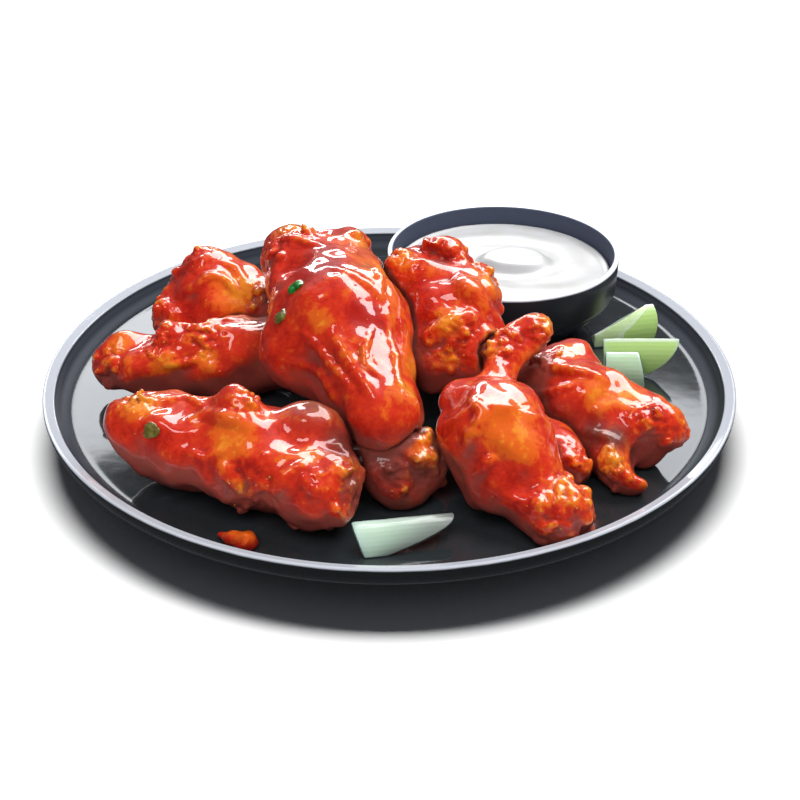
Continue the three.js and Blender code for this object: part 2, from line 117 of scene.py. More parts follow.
def melt(first: np.ndarray, second: np.ndarray, width: float) -> np.ndarray:
    """Blend of two distances, rounded over a width where they meet.

    Args:
        first: Distances to one shape.
        second: Distances to the other shape.
        width: How far the rounding reaches.

    Returns:
        Distances to the two shapes flowing into each other.
    """
    near = np.maximum(width - np.abs(first - second), 0.0) / width
    return np.minimum(first, second) - near * near * width * 0.25


def smooth(low: float, high: float, values: np.ndarray) -> np.ndarray:
    """Eased step from 0 at low to 1 at high."""
    share = np.clip((values - low) / (high - low), 0.0, 1.0)
    return share * share * (3.0 - 2.0 * share)


def unit(vector: np.ndarray) -> np.ndarray:
    """The vector at a length of one."""
    return vector / np.linalg.norm(vector)


def axes_of(first: Points, last: Points) -> Tuple[float, Points, Points, Points]:
    """Length and directions of a piece that lies between two points.

    Args:
        first: Where it begins.
        last: Where it ends.

    Returns:
        Its length, and the directions along it, to its right and above it.
    """
    along = unit(last - first)
    side = unit(np.cross(along, UP))
    return float(np.linalg.norm(last - first)), along, side, unit(np.cross(side, along))


@dataclass(frozen=True)
class Limb:
    """A ball at the start that tapers to a ball at the end."""

    start: np.ndarray
    start_radius: float
    end: np.ndarray
    end_radius: float

    def distance(self, points: Points) -> np.ndarray:
        """Distance to the limb's skin.

        Args:
            points: Places in millimetres.

        Returns:
            One distance for each point, negative inside.
        """
        along = self.end - self.start
        to_point = points - self.start
        share = np.clip(to_point @ along / max(float(along @ along), TINY), 0.0, 1.0)
        to_point -= share[:, None] * along
        reach = np.sqrt(np.einsum("ij,ij->i", to_point, to_point))
        return reach - (self.start_radius + (self.end_radius - self.start_radius) * share)


def skin_waves(points: Points, wavelength: float, seed: int) -> np.ndarray:
    """Waves that never line up: the lumps that frying and sauce leave on the skin.

    Args:
        points: Places in millimetres.
        wavelength: Length of a wave.
        seed: Shifts the waves for each piece.

    Returns:
        Heights from about -1 to 1.
    """
    k = 2.0 * math.pi / wavelength
    x, y, z = points.T
    a = x * k + seed * 1.7 + 0.9 * np.sin(z * k * 0.63 + seed)
    b = y * k + seed * 2.3 + 0.9 * np.sin(x * k * 0.57 + seed * 2)
    c = z * k + seed * 3.1 + 0.9 * np.sin(y * k * 0.71 + seed * 3)
    return (np.sin(a) * np.cos(b) + np.sin(b) * np.cos(c) + np.sin(c) * np.cos(a)) / 1.5


class Lumpiness:
    """Seeded gradient noise in space, smooth and without a grain."""

    LATTICE = 256
    GAIN = 1.6

    def __init__(self, seed: int) -> None:
        """Draws the slopes of the noise's lattice.

        Args:
            seed: Fixes the pattern.
        """
        rng = np.random.default_rng(seed)
        slopes = rng.normal(size=(self.LATTICE, 3))
        self.slopes = slopes / np.linalg.norm(slopes, axis=1)[:, None]
        self.order = np.tile(rng.permutation(self.LATTICE), 2)

    def heights(self, points: Points, wavelength: float) -> np.ndarray:
        """Noise at each point, about -1 to 1.

        Args:
            points: Places in millimetres.
            wavelength: Size of the lattice cell.

        Returns:
            One height for each point.
        """
        place = points / wavelength
        cell = np.floor(place).astype(int)
        part = place - cell
        fade = part * part * part * (part * (part * 6.0 - 15.0) + 10.0)
        total = np.zeros(len(points))
        for corner in np.ndindex(2, 2, 2):
            i, j, k = ((cell + corner) % self.LATTICE).T
            slope = self.slopes[self.order[self.order[self.order[i] + j] + k]]
            weight = np.prod(np.where(corner, fade, 1.0 - fade), axis=1)
            total += weight * np.einsum("ij,ij->i", slope, part - corner)
        return total * self.GAIN


# ------------------------------------------------------------------ surfaces of fields


def lattice(ends: Tuple[Points, Points], margin: float, cell: float,
            lowest: float = 0.0) -> Tuple[Points, np.ndarray, Points]:
    """Lattice of a box round a piece.

    Args:
        ends: Where the piece begins and ends.
        margin: Room round them.
        cell: Size of a cell.
        lowest: Height that the box doesn't go below.

    Returns:
        The box's lowest corner in cells, its shape, and the lattice's points.
    """
    low = np.floor((np.minimum(*ends) - margin) / cell)
    high = np.ceil((np.maximum(*ends) + margin) / cell)
    low[2] = max(low[2], math.floor(lowest / cell))
    shape = (high - low).astype(int) + 1
    return low, shape, (np.indices(shape).reshape(3, -1).T + low) * cell


def open_pinches(values: np.ndarray) -> None:
    """Moves corners just outside where the surface would pinch to a line.

    Args:
        values: Distances on the lattice, changed in place.
    """
    outside = 1e-3
    while True:
        found = 0
        for u, v in ((0, 1), (1, 2), (2, 0)):
            ring = []
            for su, sv in RING:
                cut = [slice(None)] * 3
                cut[u] = slice(su, values.shape[u] - 1 + su)
                cut[v] = slice(sv, values.shape[v] - 1 + sv)
                ring.append(tuple(cut))
            inner = [values[cut] < 0 for cut in ring]
            crossed = (inner[0] == inner[2]) & (inner[1] == inner[3]) & (inner[0] != inner[1])
            if not crossed.any():
                continue
            for pair in ((0, 2), (1, 3)):
                first, second = (values[ring[n]] for n in pair)
                both = crossed & inner[pair[0]]
                first_shallow = both & (first >= second)
                second_shallow = both & (first < second)
                found += int(both.sum())
                first[first_shallow] = outside
                second[second_shallow] = outside
        if not found:
            return


def surface_net(values: np.ndarray, low: np.ndarray, cell: float) -> Tuple[Points, np.ndarray]:
    """One closed surface of quads where the sampled field is zero.

    Args:
        values: Distances on the lattice, negative inside.
        low: Lattice corner, in cells.
        cell: Size of a cell.

    Returns:
        Points and the four corners of each face, outward facing.
    """
    open_pinches(values)
    inside = values < 0
    shape = np.array(values.shape)
    total = np.zeros((*(shape - 1), 3))
    count = np.zeros(shape - 1)
    for axis in range(3):
        for du, dv in ((0, 0), (1, 0), (0, 1), (1, 1)):
            near = [0, 0, 0]
            near[(axis + 1) % 3], near[(axis + 2) % 3] = du, dv
            far = list(near)
            far[axis] = 1
            low_cut = tuple(slice(n, s - 1 + n) for n, s in zip(near, shape))
            high_cut = tuple(slice(n, s - 1 + n) for n, s in zip(far, shape))
            crossing = inside[low_cut] != inside[high_cut]
            before, after = values[low_cut][crossing], values[high_cut][crossing]
            step = np.tile(np.array(near, float), (len(before), 1))
            step[:, axis] = before / (before - after)
            total[crossing] += step
            count[crossing] += 1
    active = count > 0
    place = np.argwhere(active) + total[active] / count[active][:, None]
    number = np.full(active.shape, -1)
    number[active] = np.arange(active.sum())
    faces = []
    for axis in range(3):
        u, v = (axis + 1) % 3, (axis + 2) % 3
        here = np.take(inside, range(shape[axis] - 1), axis)
        there = np.take(inside, range(1, shape[axis]), axis)
        corner = np.argwhere(here != there)
        keep = (corner[:, u] > 0) & (corner[:, v] > 0)
        keep &= (corner[:, u] < shape[u] - 1) & (corner[:, v] < shape[v] - 1)
        corner = corner[keep]
        ring = []
        for su, sv in RING:
            at = corner.copy()
            at[:, u] -= su
            at[:, v] -= sv
            ring.append(number[tuple(at.T)])
        ring = np.stack(ring, axis=1)
        outward = here[tuple(corner.T)]
        faces.append(np.where(outward[:, None], ring, ring[:, ::-1]))
    return (place + low) * cell, np.concatenate(faces)


def edges_of(quads: np.ndarray) -> Tuple[np.ndarray, np.ndarray]:
    """Each edge of the faces once, and the edge that starts at each face corner.

    Args:
        quads: Four corners of each face.

    Returns:
        Edges as pairs of points, and edge numbers in the shape of the faces.
    """
    pairs = np.stack([quads, np.roll(quads, -1, axis=1)], axis=2).reshape(-1, 2)
    edges, which = np.unique(np.sort(pairs, axis=1), axis=0, return_inverse=True)
    return edges, which.reshape(quads.shape)


def quarter(points: Points, quads: np.ndarray) -> Tuple[Points, np.ndarray]:
    """Splits every face into four.

    Args:
        points: Corner points.
        quads: Four corners of each face.

    Returns:
        The finer points and faces.
    """
    edges, which = edges_of(quads)
    middles = points[edges].mean(axis=1)
    centres = points[quads].mean(axis=1)
    middle = which + len(points)
    centre = len(points) + len(edges) + np.arange(len(quads))
    parts = [
        np.stack([quads[:, n], middle[:, n], centre, middle[:, n - 1]], axis=1) for n in range(4)
    ]
    return np.concatenate([points, middles, centres]), np.concatenate(parts)


def slopes_of(distance: Field, points: Points, here: np.ndarray, step: float = 0.05) -> Points:
    """Slope of a field, by a short step along each axis.

    Args:
        distance: The field.
        points: Places in millimetres.
        here: The field's values there.
        step: Length of the step.

    Returns:
        One slope for each point.
    """
    slope = np.empty_like(points)
    for axis in range(3):
        probe = points.copy()
        probe[:, axis] += step
        slope[:, axis] = (distance(probe) - here) / step
    return slope


def settle(distance: Field, points: Points, reach: float, rounds: int = 2) -> Points:
    """Moves points onto the surface of a field.

    Args:
        distance: The field.
        points: Places near its surface.
        reach: The furthest that a point may move.
        rounds: How often the move is refined.

    Returns:
        The moved points.
    """
    flattest = 0.25
    start = points.copy()
    for _ in range(rounds):
        here = distance(points)
        slope = slopes_of(distance, points, here)
        steep = np.maximum(np.einsum("ij,ij->i", slope, slope), flattest)
        points = points - slope * (here / steep)[:, None]
    moved = points - start
    length = np.maximum(np.linalg.norm(moved, axis=1), TINY)
    return start + moved * np.minimum(1.0, reach / length)[:, None]


def normals_of(points: Points, quads: np.ndarray) -> Points:
    """Outward direction at each point, from the faces around it.

    Args:
        points: Corner points.
        quads: Four corners of each face.

    Returns:
        One direction of length one for each point.
    """
    corners = points[quads]
    facing = np.cross(corners[:, 2] - corners[:, 0], corners[:, 3] - corners[:, 1])
    total = np.stack([np.bincount(quads.ravel(), np.repeat(share, 4), len(points))
                      for share in facing.T], axis=1)
    return total / np.maximum(np.linalg.norm(total, axis=1), TINY)[:, None]


def relaxed(values: np.ndarray, edges: np.ndarray, count: int, rounds: int) -> np.ndarray:
    """Evens values out over the surface.

    Args:
        values: One row for each point.
        edges: Pairs of neighbouring points.
        count: Number of points.
        rounds: How far the evening reaches.

    Returns:
        The evened values.
    """
    stay, follow = 0.35, 0.65
    ends = np.concatenate([edges[:, 0], edges[:, 1]])
    others = np.concatenate([edges[:, 1], edges[:, 0]])
    around = np.maximum(np.bincount(ends, minlength=count), 1)[:, None]
    for _ in range(rounds):
        total = np.stack([np.bincount(ends, column[others], count) for column in values.T], axis=1)
        values = values * stay + total / around * follow
    return values


# ------------------------------------------------------------------ rings of points


def circle(radius: float, height: float, sides: int) -> Points:
    """Points of a level circle about the upright axis.

    Args:
        radius: Radius of the circle.
        height: Its height.
        sides: Number of points.

    Returns:
        The points, counterclockwise from above.
    """
    turns = np.linspace(0.0, FULL_TURN, sides, endpoint=False)
    return np.stack(
        [radius * np.cos(turns), radius * np.sin(turns), np.full(sides, height)], axis=1)


def capped(rings: Sequence[Points], rising: bool) -> Tuple[Points, List[Tuple[int, ...]]]:
    """Closed skin over rings of points; the first and the last ring are poles of one point.

    Args:
        rings: The rings in order, each counterclockwise from above.
        rising: Whether they begin at the lower pole.

    Returns:
        Points and outward faces.
    """
    points = np.concatenate(rings)
    sides, end = len(rings[1]), len(points) - 1
    faces: List[Tuple[int, ...]] = []
    for n in range(sides):
        m = (n + 1) % sides
        faces.append((0, 1 + m, 1 + n))
        for a in range(1, end - sides, sides):
            faces.append((a + n, a + m, a + sides + m, a + sides + n))
        faces.append((end - sides + n, end - sides + m, end))
    return points, faces if rising else [(face[0], *face[:0:-1]) for face in faces]


# ------------------------------------------------------------------ meshes and pieces


def mesh_from(name: str, points: Points, faces: Union[np.ndarray, Sequence[Sequence[int]]],
              notes: Optional[Notes] = None) -> bpy.types.Mesh:
    """A smooth mesh in metres from points in millimetres.

    Args:
        name: Name of the mesh.
        points: Corner points.
        faces: Corners of each face, outward facing.
        notes: Numbers that it keeps for each point, for its finish to read.

    Returns:
        The mesh.
    """
    mesh = bpy.data.meshes.new(name)
    mesh.from_pydata((points * MM).tolist(), [], [list(map(int, face)) for face in faces])
    mesh.shade_smooth()
    mesh.update()
    for label, values in (notes or {}).items():
        store(mesh, label, values)
    return mesh


def store(mesh: bpy.types.Mesh, label: str, values: np.ndarray) -> None:
    """Keeps one number for each point of a mesh."""
    layer = mesh.attributes.new(label, "FLOAT", "POINT")
    layer.data.foreach_set("value", np.ascontiguousarray(values, dtype=np.float32).ravel())


def points_of(mesh: bpy.types.Mesh) -> Points:
    """Corner points of a mesh, in millimetres.

    Args:
        mesh: The mesh.

    Returns:
        The points.
    """
    flat = np.empty(len(mesh.vertices) * 3)
    mesh.vertices.foreach_get("co", flat)
    return flat.reshape(-1, 3) / MM


def linked(name: str, data: bpy.types.ID) -> bpy.types.Object:
    """A new object in the scene.

    Args:
        name: Name of the object.
        data: Mesh, light or camera that it holds.

    Returns:
        The object.
    """
    piece = bpy.data.objects.new(name, data)
    bpy.context.scene.collection.objects.link(piece)
    return piece


def place(name: str, mesh: bpy.types.Mesh, finish: bpy.types.Material,
          nodes: Sequence[str] = (), slot: Optional[str] = None) -> bpy.types.Object:
    """Puts a finished piece on the serving.

    Args:
        name: Name of the piece.
        mesh: Its mesh, with its place in it.
        finish: Its material.
        nodes: Solids of the part that it stands for.
        slot: Not used.

    Returns:
        The piece.
    """
    mesh.materials.clear()
    mesh.materials.append(finish)
    piece = linked(name, mesh)
    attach(piece, BODY)
    if nodes:
        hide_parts(*nodes)
    LOG.info("%s: %d triangles", name, sum(len(face.vertices) - 2 for face in mesh.polygons))
    return piece


def evaluated(name: str, start: bpy.types.Mesh, group: bpy.types.NodeTree,
              settings: Dict[str, object]) -> bpy.types.Mesh:
    """Runs a node tree on a mesh and keeps what it makes as a plain mesh.

    Args:
        name: Name of the new mesh.
        start: The tree's starting shape; it is removed.
        group: The Geometry Nodes tree.
        settings: Values of the tree's named inputs.

    Returns:
        The plain mesh.
    """
    carrier = linked("start", start)
    modifier = carrier.modifiers.new("make", "NODES")
    modifier.node_group = group
    named = {
        item.name: item.identifier
        for item in group.interface.items_tree
        if item.item_type == "SOCKET" and item.in_out == "INPUT"
    }
    for label, value in settings.items():
        modifier[named[label]] = value
    carrier.update_tag()
    bpy.context.view_layer.update()
    graph = bpy.context.evaluated_depsgraph_get()
    mesh = bpy.data.meshes.new_from_object(carrier.evaluated_get(graph))
    mesh.name = name
    carrier.modifiers.remove(modifier)
    bpy.data.objects.remove(carrier)
    bpy.data.meshes.remove(start)
    return mesh


# ------------------------------------------------------------------ node trees


class Tap:
    """A node's output that takes Python arithmetic."""

    def __init__(self, tree: "Tree", socket: bpy.types.NodeSocket) -> None:
        """Wraps a socket.

        Args:
            tree: The tree that the socket belongs to.
            socket: The output socket.
        """
        self.tree = tree
        self.socket = socket

    def maths(self, operation: str, *values: object) -> "Tap":
        """Result of one Math node."""
        return self.tree.tap("ShaderNodeMath", {"operation": operation}, dict(enumerate(values)))

    def __add__(self, other: object) -> "Tap":
        """Sum."""
        return self.maths("ADD", self, other)

    __radd__ = __add__

    def __sub__(self, other: object) -> "Tap":
        """Difference."""
        return self.maths("SUBTRACT", self, other)

    def __rsub__(self, other: object) -> "Tap":
        """Difference from a number."""
        return self.maths("SUBTRACT", other, self)

    def __mul__(self, other: object) -> "Tap":
        """Product."""
        return self.maths("MULTIPLY", self, other)

    __rmul__ = __mul__

    def __truediv__(self, other: object) -> "Tap":
        """Quotient."""
        return self.maths("DIVIDE", self, other)

    def __pow__(self, other: object) -> "Tap":
        """Power."""
        return self.maths("POWER", self, other)

    def larger(self, other: object) -> "Tap":
        """The larger of the two."""
        return self.maths("MAXIMUM", self, other)

    def eased(self, low: float, high: float) -> "Tap":
        """Eased step from 0 at low to 1 at high."""
        return self.tree.tap(
            "ShaderNodeMapRange", {"interpolation_type": "SMOOTHSTEP", "clamp": True},
            {"Value": self, "From Min": low, "From Max": high},
        )

    def part(self, axis: str) -> "Tap":
        """One of X, Y and Z of a vector."""
        return self.tree.tap("ShaderNodeSeparateXYZ", {}, {0: self}, axis)


Value = Union[Tap, bpy.types.Material, float, str, Sequence[float]]
Sockets = Dict[Union[int, str], Value]


class Tree:
    """A node tree that is built node by node."""

    def __init__(self, tree: bpy.types.NodeTree) -> None:
        """Takes a tree and empties it.

        Args:
            tree: The tree.
        """
        self.group = tree
        tree.nodes.clear()

    def node(self, kind: str, settings: Optional[Dict[str, object]] = None,
             inputs: Optional[Sockets] = None) -> bpy.types.Node:
        """Adds a node.

        Args:
            kind: Type of the node.
            settings: Properties, set first.
            inputs: Values or links of its sockets.

        Returns:
            The node.
        """
        node = self.group.nodes.new(kind)
        for key, value in (settings or {}).items():
            setattr(node, key, value)
        for key, value in (inputs or {}).items():
            if isinstance(value, Tap):
                self.group.links.new(value.socket, node.inputs[key])
            else:
                node.inputs[key].default_value = value
        return node

    def tap(self, kind: str, settings: Optional[Dict[str, object]] = None,
            inputs: Optional[Sockets] = None, output: Union[int, str] = 0) -> Tap:
        """Adds a node and wraps one of its outputs."""
        return Tap(self, self.node(kind, settings, inputs).outputs[output])


class ShapeTree(Tree):
    """A Geometry Nodes tree with named inputs."""

    def __init__(self, name: str, inputs: Dict[str, str]) -> None:
        """Starts a tree that takes and gives a shape.

        Args:
            name: Name of the tree.
            inputs: Kind of each named input after the shape itself.
        """
        super().__init__(bpy.data.node_groups.new(name, "GeometryNodeTree"))
        for label, kind in {"Shape": "Geometry", **inputs}.items():
            self.group.interface.new_socket(label, in_out="INPUT", socket_type="NodeSocket" + kind)
        self.group.interface.new_socket("Shape", in_out="OUTPUT", socket_type="NodeSocketGeometry")
        self.inputs = self.node("NodeGroupInput").outputs

    def given(self, label: str) -> Tap:
        """One of the tree's named inputs."""
        return Tap(self, self.inputs[label])

    def scaled(self, vector: Tap, scale: Tap) -> Tap:
        """A vector times a number."""
        return self.tap("ShaderNodeVectorMath", {"operation": "SCALE"}, {0: vector, "Scale": scale})

    def finish(self, shape: Tap) -> bpy.types.NodeTree:
        """Ends the tree with plain smooth geometry that carries the piece's material.

        Args:
            shape: Geometry that comes out.

        Returns:
            The finished tree.
        """
        soft = self.tap("GeometryNodeSetShadeSmooth", {}, {"Geometry": shape})
        real = self.tap("GeometryNodeRealizeInstances", {}, {0: soft})
        dressed = self.tap("GeometryNodeSetMaterial", {},
                           {"Geometry": real, "Material": self.given("Finish")})
        self.node("NodeGroupOutput", {}, {0: dressed})
        return self.group


def turned_tree() -> bpy.types.NodeTree:
    """Tree that turns a profile of points about an upright axis into a closed body.

    Returns:
        The tree, with inputs Sides, Centre and Finish.
    """
    tree = ShapeTree("turned_body", {"Sides": "Int", "Centre": "Vector", "Finish": "Material"})
    profile, sides = tree.given("Shape"), tree.given("Sides")
    steps = tree.tap("GeometryNodeAttributeDomainSize", {"component": "MESH"}, {0: profile},
                     "Point Count")
    grid = tree.tap("GeometryNodeMeshGrid", {},
                    {"Vertices X": sides + 1.0, "Vertices Y": steps}, "Mesh")
    index = tree.tap("GeometryNodeInputIndex")
    ring = index.maths("FLOOR", (index + 0.5) / steps)
    angle = ring / sides * FULL_TURN
    sample = tree.tap(
        "GeometryNodeSampleIndex", {"data_type": "FLOAT_VECTOR", "domain": "POINT"},
        {"Geometry": profile, "Value": tree.tap("GeometryNodeInputPosition"),
         "Index": index.maths("FLOORED_MODULO", index, steps)},
    )
    radius = sample.part("X")
    point = tree.tap("ShaderNodeCombineXYZ", {}, {
        0: radius * angle.maths("COSINE", angle), 1: radius * angle.maths("SINE", angle),
        2: sample.part("Z"),
    })
    moved = tree.tap("GeometryNodeSetPosition", {},
                     {"Geometry": grid, "Position": point, "Offset": tree.given("Centre")})
    doubles = 0.002 * MM
    return tree.finish(tree.tap("GeometryNodeMergeByDistance", {},
                                {"Geometry": moved, "Distance": doubles}))


def scatter_tree() -> bpy.types.NodeTree:
    """Tree that strews small rough grains over a surface where its crust is ragged.

    Returns:
        The tree, with inputs Density, Grain, Seed and Finish.
    """
    tree = ShapeTree("crust_grains", {"Density": "Float", "Grain": "Float", "Seed": "Int",
                                      "Finish": "Material"})
    grain, seed = tree.given("Grain"), tree.given("Seed")
    smallest, largest = (0.5, 0.4, 0.3), (1.3, 1.0, 0.7)
    crust = tree.tap("GeometryNodeInputNamedAttribute", {"data_type": "FLOAT"}, {"Name": "crumbly"})
    spread = tree.node("GeometryNodeDistributePointsOnFaces", {}, {
        "Mesh": tree.given("Shape"), "Density": crust * tree.given("Density"), "Seed": seed,
    }).outputs
    ball = tree.tap("GeometryNodeMeshIcoSphere", {}, {"Radius": 1.0, "Subdivisions": 2})
    size = tree.tap("FunctionNodeRandomValue", {"data_type": "FLOAT_VECTOR"},
                    {"Min": smallest, "Max": largest, "Seed": seed})
    strewn = tree.tap("GeometryNodeInstanceOnPoints", {}, {
        "Points": Tap(tree, spread["Points"]), "Instance": ball,
        "Rotation": Tap(tree, spread["Rotation"]), "Scale": tree.scaled(size, grain),
    })
    real = tree.tap("GeometryNodeRealizeInstances", {}, {0: strewn})
    rough = tree.tap("ShaderNodeTexNoise", {"noise_dimensions": "3D"},
                     {"Scale": 900.0, "Detail": 1.0}, "Color")
    centred = tree.tap("ShaderNodeVectorMath", {"operation": "SUBTRACT"},
                       {0: rough, 1: (0.5, 0.5, 0.5)})
    return tree.finish(tree.tap("GeometryNodeSetPosition", {}, {
        "Geometry": real, "Offset": tree.scaled(centred, grain * 1.4),
    }))


# ------------------------------------------------------------------ finishes


class Shade(Tree):
    """The node tree of one finish."""

    def __init__(self, name: str) -> None:
        """Starts an empty finish.

        Args:
            name: Name of the material.
        """
        self.material = bpy.data.materials.new(name)
        self.material.use_nodes = True
        super().__init__(self.material.node_tree)

    def where(self) -> Tap:
        """Place on the object, in metres."""
        return self.tap("ShaderNodeTexCoord", output="Object")

    def kept(self, name: str) -> Tap:
        """Number that the mesh keeps for each point."""
        return self.tap("ShaderNodeAttribute", {"attribute_name": name}, output="Fac")

    def noise(self, size: float, detail: float = 2.0, rough: float = 0.5,
              twist: float = 0.0) -> Tap:
        """Noise with features of a size in millimetres.

        Args:
            size: Size of a feature.
            detail: Finer layers.
            rough: Strength of the finer layers.
            twist: Distortion.

        Returns:
            Values around a half.
        """
        return self.tap("ShaderNodeTexNoise", {}, {
            "Vector": self.where(), "Scale": 1.0 / (size * MM), "Detail": detail,
            "Roughness": rough, "Distortion": twist,
        })

    def cells(self, size: float) -> Tap:
        """Distance to scattered centres, a size in millimetres apart."""
        return self.tap("ShaderNodeTexVoronoi", {"feature": "F1"},
                        {"Vector": self.where(), "Scale": 1.0 / (size * MM)})

    def blend(self, share: Value, first: Value, second: Value) -> Tap:
        """Colour between two colours."""
        return self.tap("ShaderNodeMix", {"data_type": "RGBA"}, {0: share, 6: first, 7: second}, 2)

    def bump(self, height: Tap, depth: float, under: Optional[Tap] = None) -> Tap:
        """Relief from a height.

        Args:
            height: The height, 0 to 1.
            depth: What 1 stands for, in millimetres.
            under: Coarser relief that this one lies on.

        Returns:
            The bent normal.
        """
        inputs: Sockets = {"Height": height, "Distance": depth * MM, "Strength": 1.0}
        if under is not None:
            inputs["Normal"] = under
        return self.tap("ShaderNodeBump", {}, inputs)

    def surface(self, inputs: Sockets) -> bpy.types.Material:
        """Ends the finish in one Principled shader.

        Args:
            inputs: Values or links of the shader's sockets.

        Returns:
            The material.
        """
        shader = self.tap("ShaderNodeBsdfPrincipled", {}, inputs)
        self.node("ShaderNodeOutputMaterial", {}, {0: shader})
        return self.material


@dataclass(frozen=True)
class SauceFinish:
    """Hot sauce over fried skin: deep red where it pools, orange and gold where it lies thin;
    painted light makes it orange on lit sides and painted shade darkens creases and undersides.
    """

    deep: Colour = linear(186, 30, 18)
    red: Colour = linear(222, 50, 22)
    orange: Colour = linear(240, 102, 26)
    gold: Colour = linear(250, 150, 40)
    crisp: Colour = linear(250, 190, 92)
    # Painted shade in creases, where wings touch and in the painted shade spots.
    shade: Colour = linear(96, 48, 43)
    # Painted shade under the wings: a dull brownish colour with a grey cast where they face down
    # and are hidden.
    under: Colour = linear(156, 80, 70)

    def material(self, name: str) -> bpy.types.Material:
        """The sauce over a wing.

        Args:
            name: Name of the material.

        Returns:
            The material.
        """
        shade = Shade(name)
        thin, crest = shade.kept("thin"), shade.kept("crest")
        crumbly, painted_crease_shade = shade.kept("crumbly"), shade.kept("painted_crease_shade")
        cloud = shade.noise(15.0, 2.0, 0.5, 0.6)
        patch = shade.noise(5.5, 3.0, 0.6, 0.8)
        mottle = shade.noise(2.4, 2.0, 0.6, 0.5)
        # The thin note carries painted light on sides that face the main light and in the painted
        # light spots, besides thin sauce.
        film = (thin * 0.74 + (cloud - 0.5) * 1.0 + (patch - 0.5) * 1.1 + (mottle - 0.5) * 0.9
                + crest * 0.2)
        tone = shade.blend(film.eased(-0.2, 0.3), self.deep, self.red)
        tone = shade.blend(film.eased(0.26, 0.68), tone, self.orange)
        golden = film + crest * crumbly * 0.35 + (shade.noise(2.0, 2.0, 0.6) - 0.5) * 0.9
        tone = shade.blend(golden.eased(0.82, 1.22) * 0.85, tone, self.gold)
        speck = shade.noise(1.5, 2.0, 0.6)
        bits = (speck + crumbly * 0.07 + crest * 0.05).eased(0.75, 0.8)
        tone = shade.blend(bits * 0.8, tone, self.crisp)
        # Painted shade in creases and where wings touch.
        tone = shade.blend(painted_crease_shade * 0.9, tone, self.shade)
        # Painted shade where the wings face down and the room above is hidden; painted light lifts
        # it again.
        dim = shade.kept("hidden").eased(0.22, 0.72).larger(shade.kept("under"))
        dim = dim * (patch * 0.7 + 0.6) * (1.0 - thin.eased(0.75, 1.2))
        tone = shade.blend(dim * 0.88, tone, self.under)
        fine = shade.noise(1.2, 2.0, 0.6)
        ripple = shade.noise(3.0, 2.0, 0.5)
        relief = shade.bump(fine * (crumbly * 0.7 + 0.3), 0.15, shade.bump(ripple, 0.16))
        return shade.surface({
            "Base Color": tone, "Normal": relief, "Roughness": 0.42 + patch * 0.16,
            "Specular IOR Level": 0.12, "Coat Weight": 1.0 - dim.larger(painted_crease_shade) * 0.6,
            "Coat Roughness": 0.05, "Coat IOR": 1.5,
        })


@dataclass(frozen=True)
class GrainFinish:
    """Bare grains of fried crust that stand through the sauce."""

    pale: Colour = linear(248, 178, 66)
    brown: Colour = linear(214, 84, 20)

    def material(self, name: str) -> bpy.types.Material:
        """The grains' material.

        Args:
            name: Name of the material.

        Returns:
            The material.
        """
        shade = Shade(name)
        tone = shade.blend(shade.noise(2.2, 2.0).eased(0.35, 0.65), self.brown, self.pale)
        return shade.surface({
            "Base Color": tone, "Roughness": 0.32 + shade.noise(0.6) * 0.1, "Coat Weight": 0.8,
            "Coat Roughness": 0.08, "Normal": shade.bump(shade.noise(0.5), 0.1),
        })


@dataclass(frozen=True)
class GlazeFinish:
    """Near-black glaze: matt on the inner wall, pale where it runs thin over the lip, and drawn
    darker on the outer wall as painted shade.
    """

    body: Colour = linear(34, 38, 40)
    cloud: Colour = linear(40, 44, 47)
    wall: Colour = linear(46, 50, 58)
    rim: Colour = linear(170, 174, 182)
    # Painted shade: the outer wall is drawn darker than the rest of the glaze.
    side: Colour = linear(20, 23, 24)
    rim_height: float = 16.2
    rim_fade: float = 0.5
    lean: float = 0.0
    wall_fade: float = 0.5
    roughness: float = 0.07
    coat: float = 0.6

    def material(self, name: str, centre: Pair, wall_from: float,
                 rim_from: float) -> bpy.types.Material:
        """The glaze of a turned vessel.

        Args:
            name: Name of the material.
            centre: Middle of the vessel on the table.
            wall_from: Radius where the inner wall begins.
            rim_from: Radius past which the height counts as rim.

        Returns:
            The material.
        """
        shade = Shade(name)
        outer_fade = 0.3
        place_on, wander = shade.where(), (shade.noise(9.0, 2.0) - 0.5) * 0.4
        height = place_on.part("Z") * MM_PER_METRE
        across = (place_on.part("X") * MM_PER_METRE - centre[0]) ** 2.0
        back = (place_on.part("Y") * MM_PER_METRE - centre[1]) ** 2.0
        radius = (across + back) ** 0.5
        level = height + wander - (radius - rim_from) * self.lean
        outer = radius.eased(rim_from - outer_fade, rim_from + outer_fade)
        rim = level.eased(self.rim_height - self.rim_fade, self.rim_height + self.rim_fade) * outer
        wall = radius.eased(wall_from - self.wall_fade, wall_from + self.wall_fade) * (1.0 - outer)
        tone = shade.blend(shade.noise(22.0, 3.0, 0.6).eased(0.35, 0.7), self.body, self.cloud)
        tone = shade.blend(wall, tone, self.wall)
        # Painted shade on the outer wall, with the pale lip laid over it.
        tone = shade.blend(outer, tone, self.side)
        tone = shade.blend(rim, tone, self.rim)
        pits = shade.noise(0.45, 1.0).eased(0.74, 0.8)
        orange_peel = shade.bump(shade.noise(6.0, 2.0, 0.4), 0.03, shade.bump(1.0 - pits, 0.02))
        return shade.surface({
            "Base Color": tone,
            "Roughness": wall * 0.45 + self.roughness + shade.noise(30.0, 2.0) * 0.04,
            "Specular IOR Level": 0.5, "Coat Weight": (1.0 - wall) * self.coat,
            "Coat Roughness": 0.05, "Normal": orange_peel,
        })


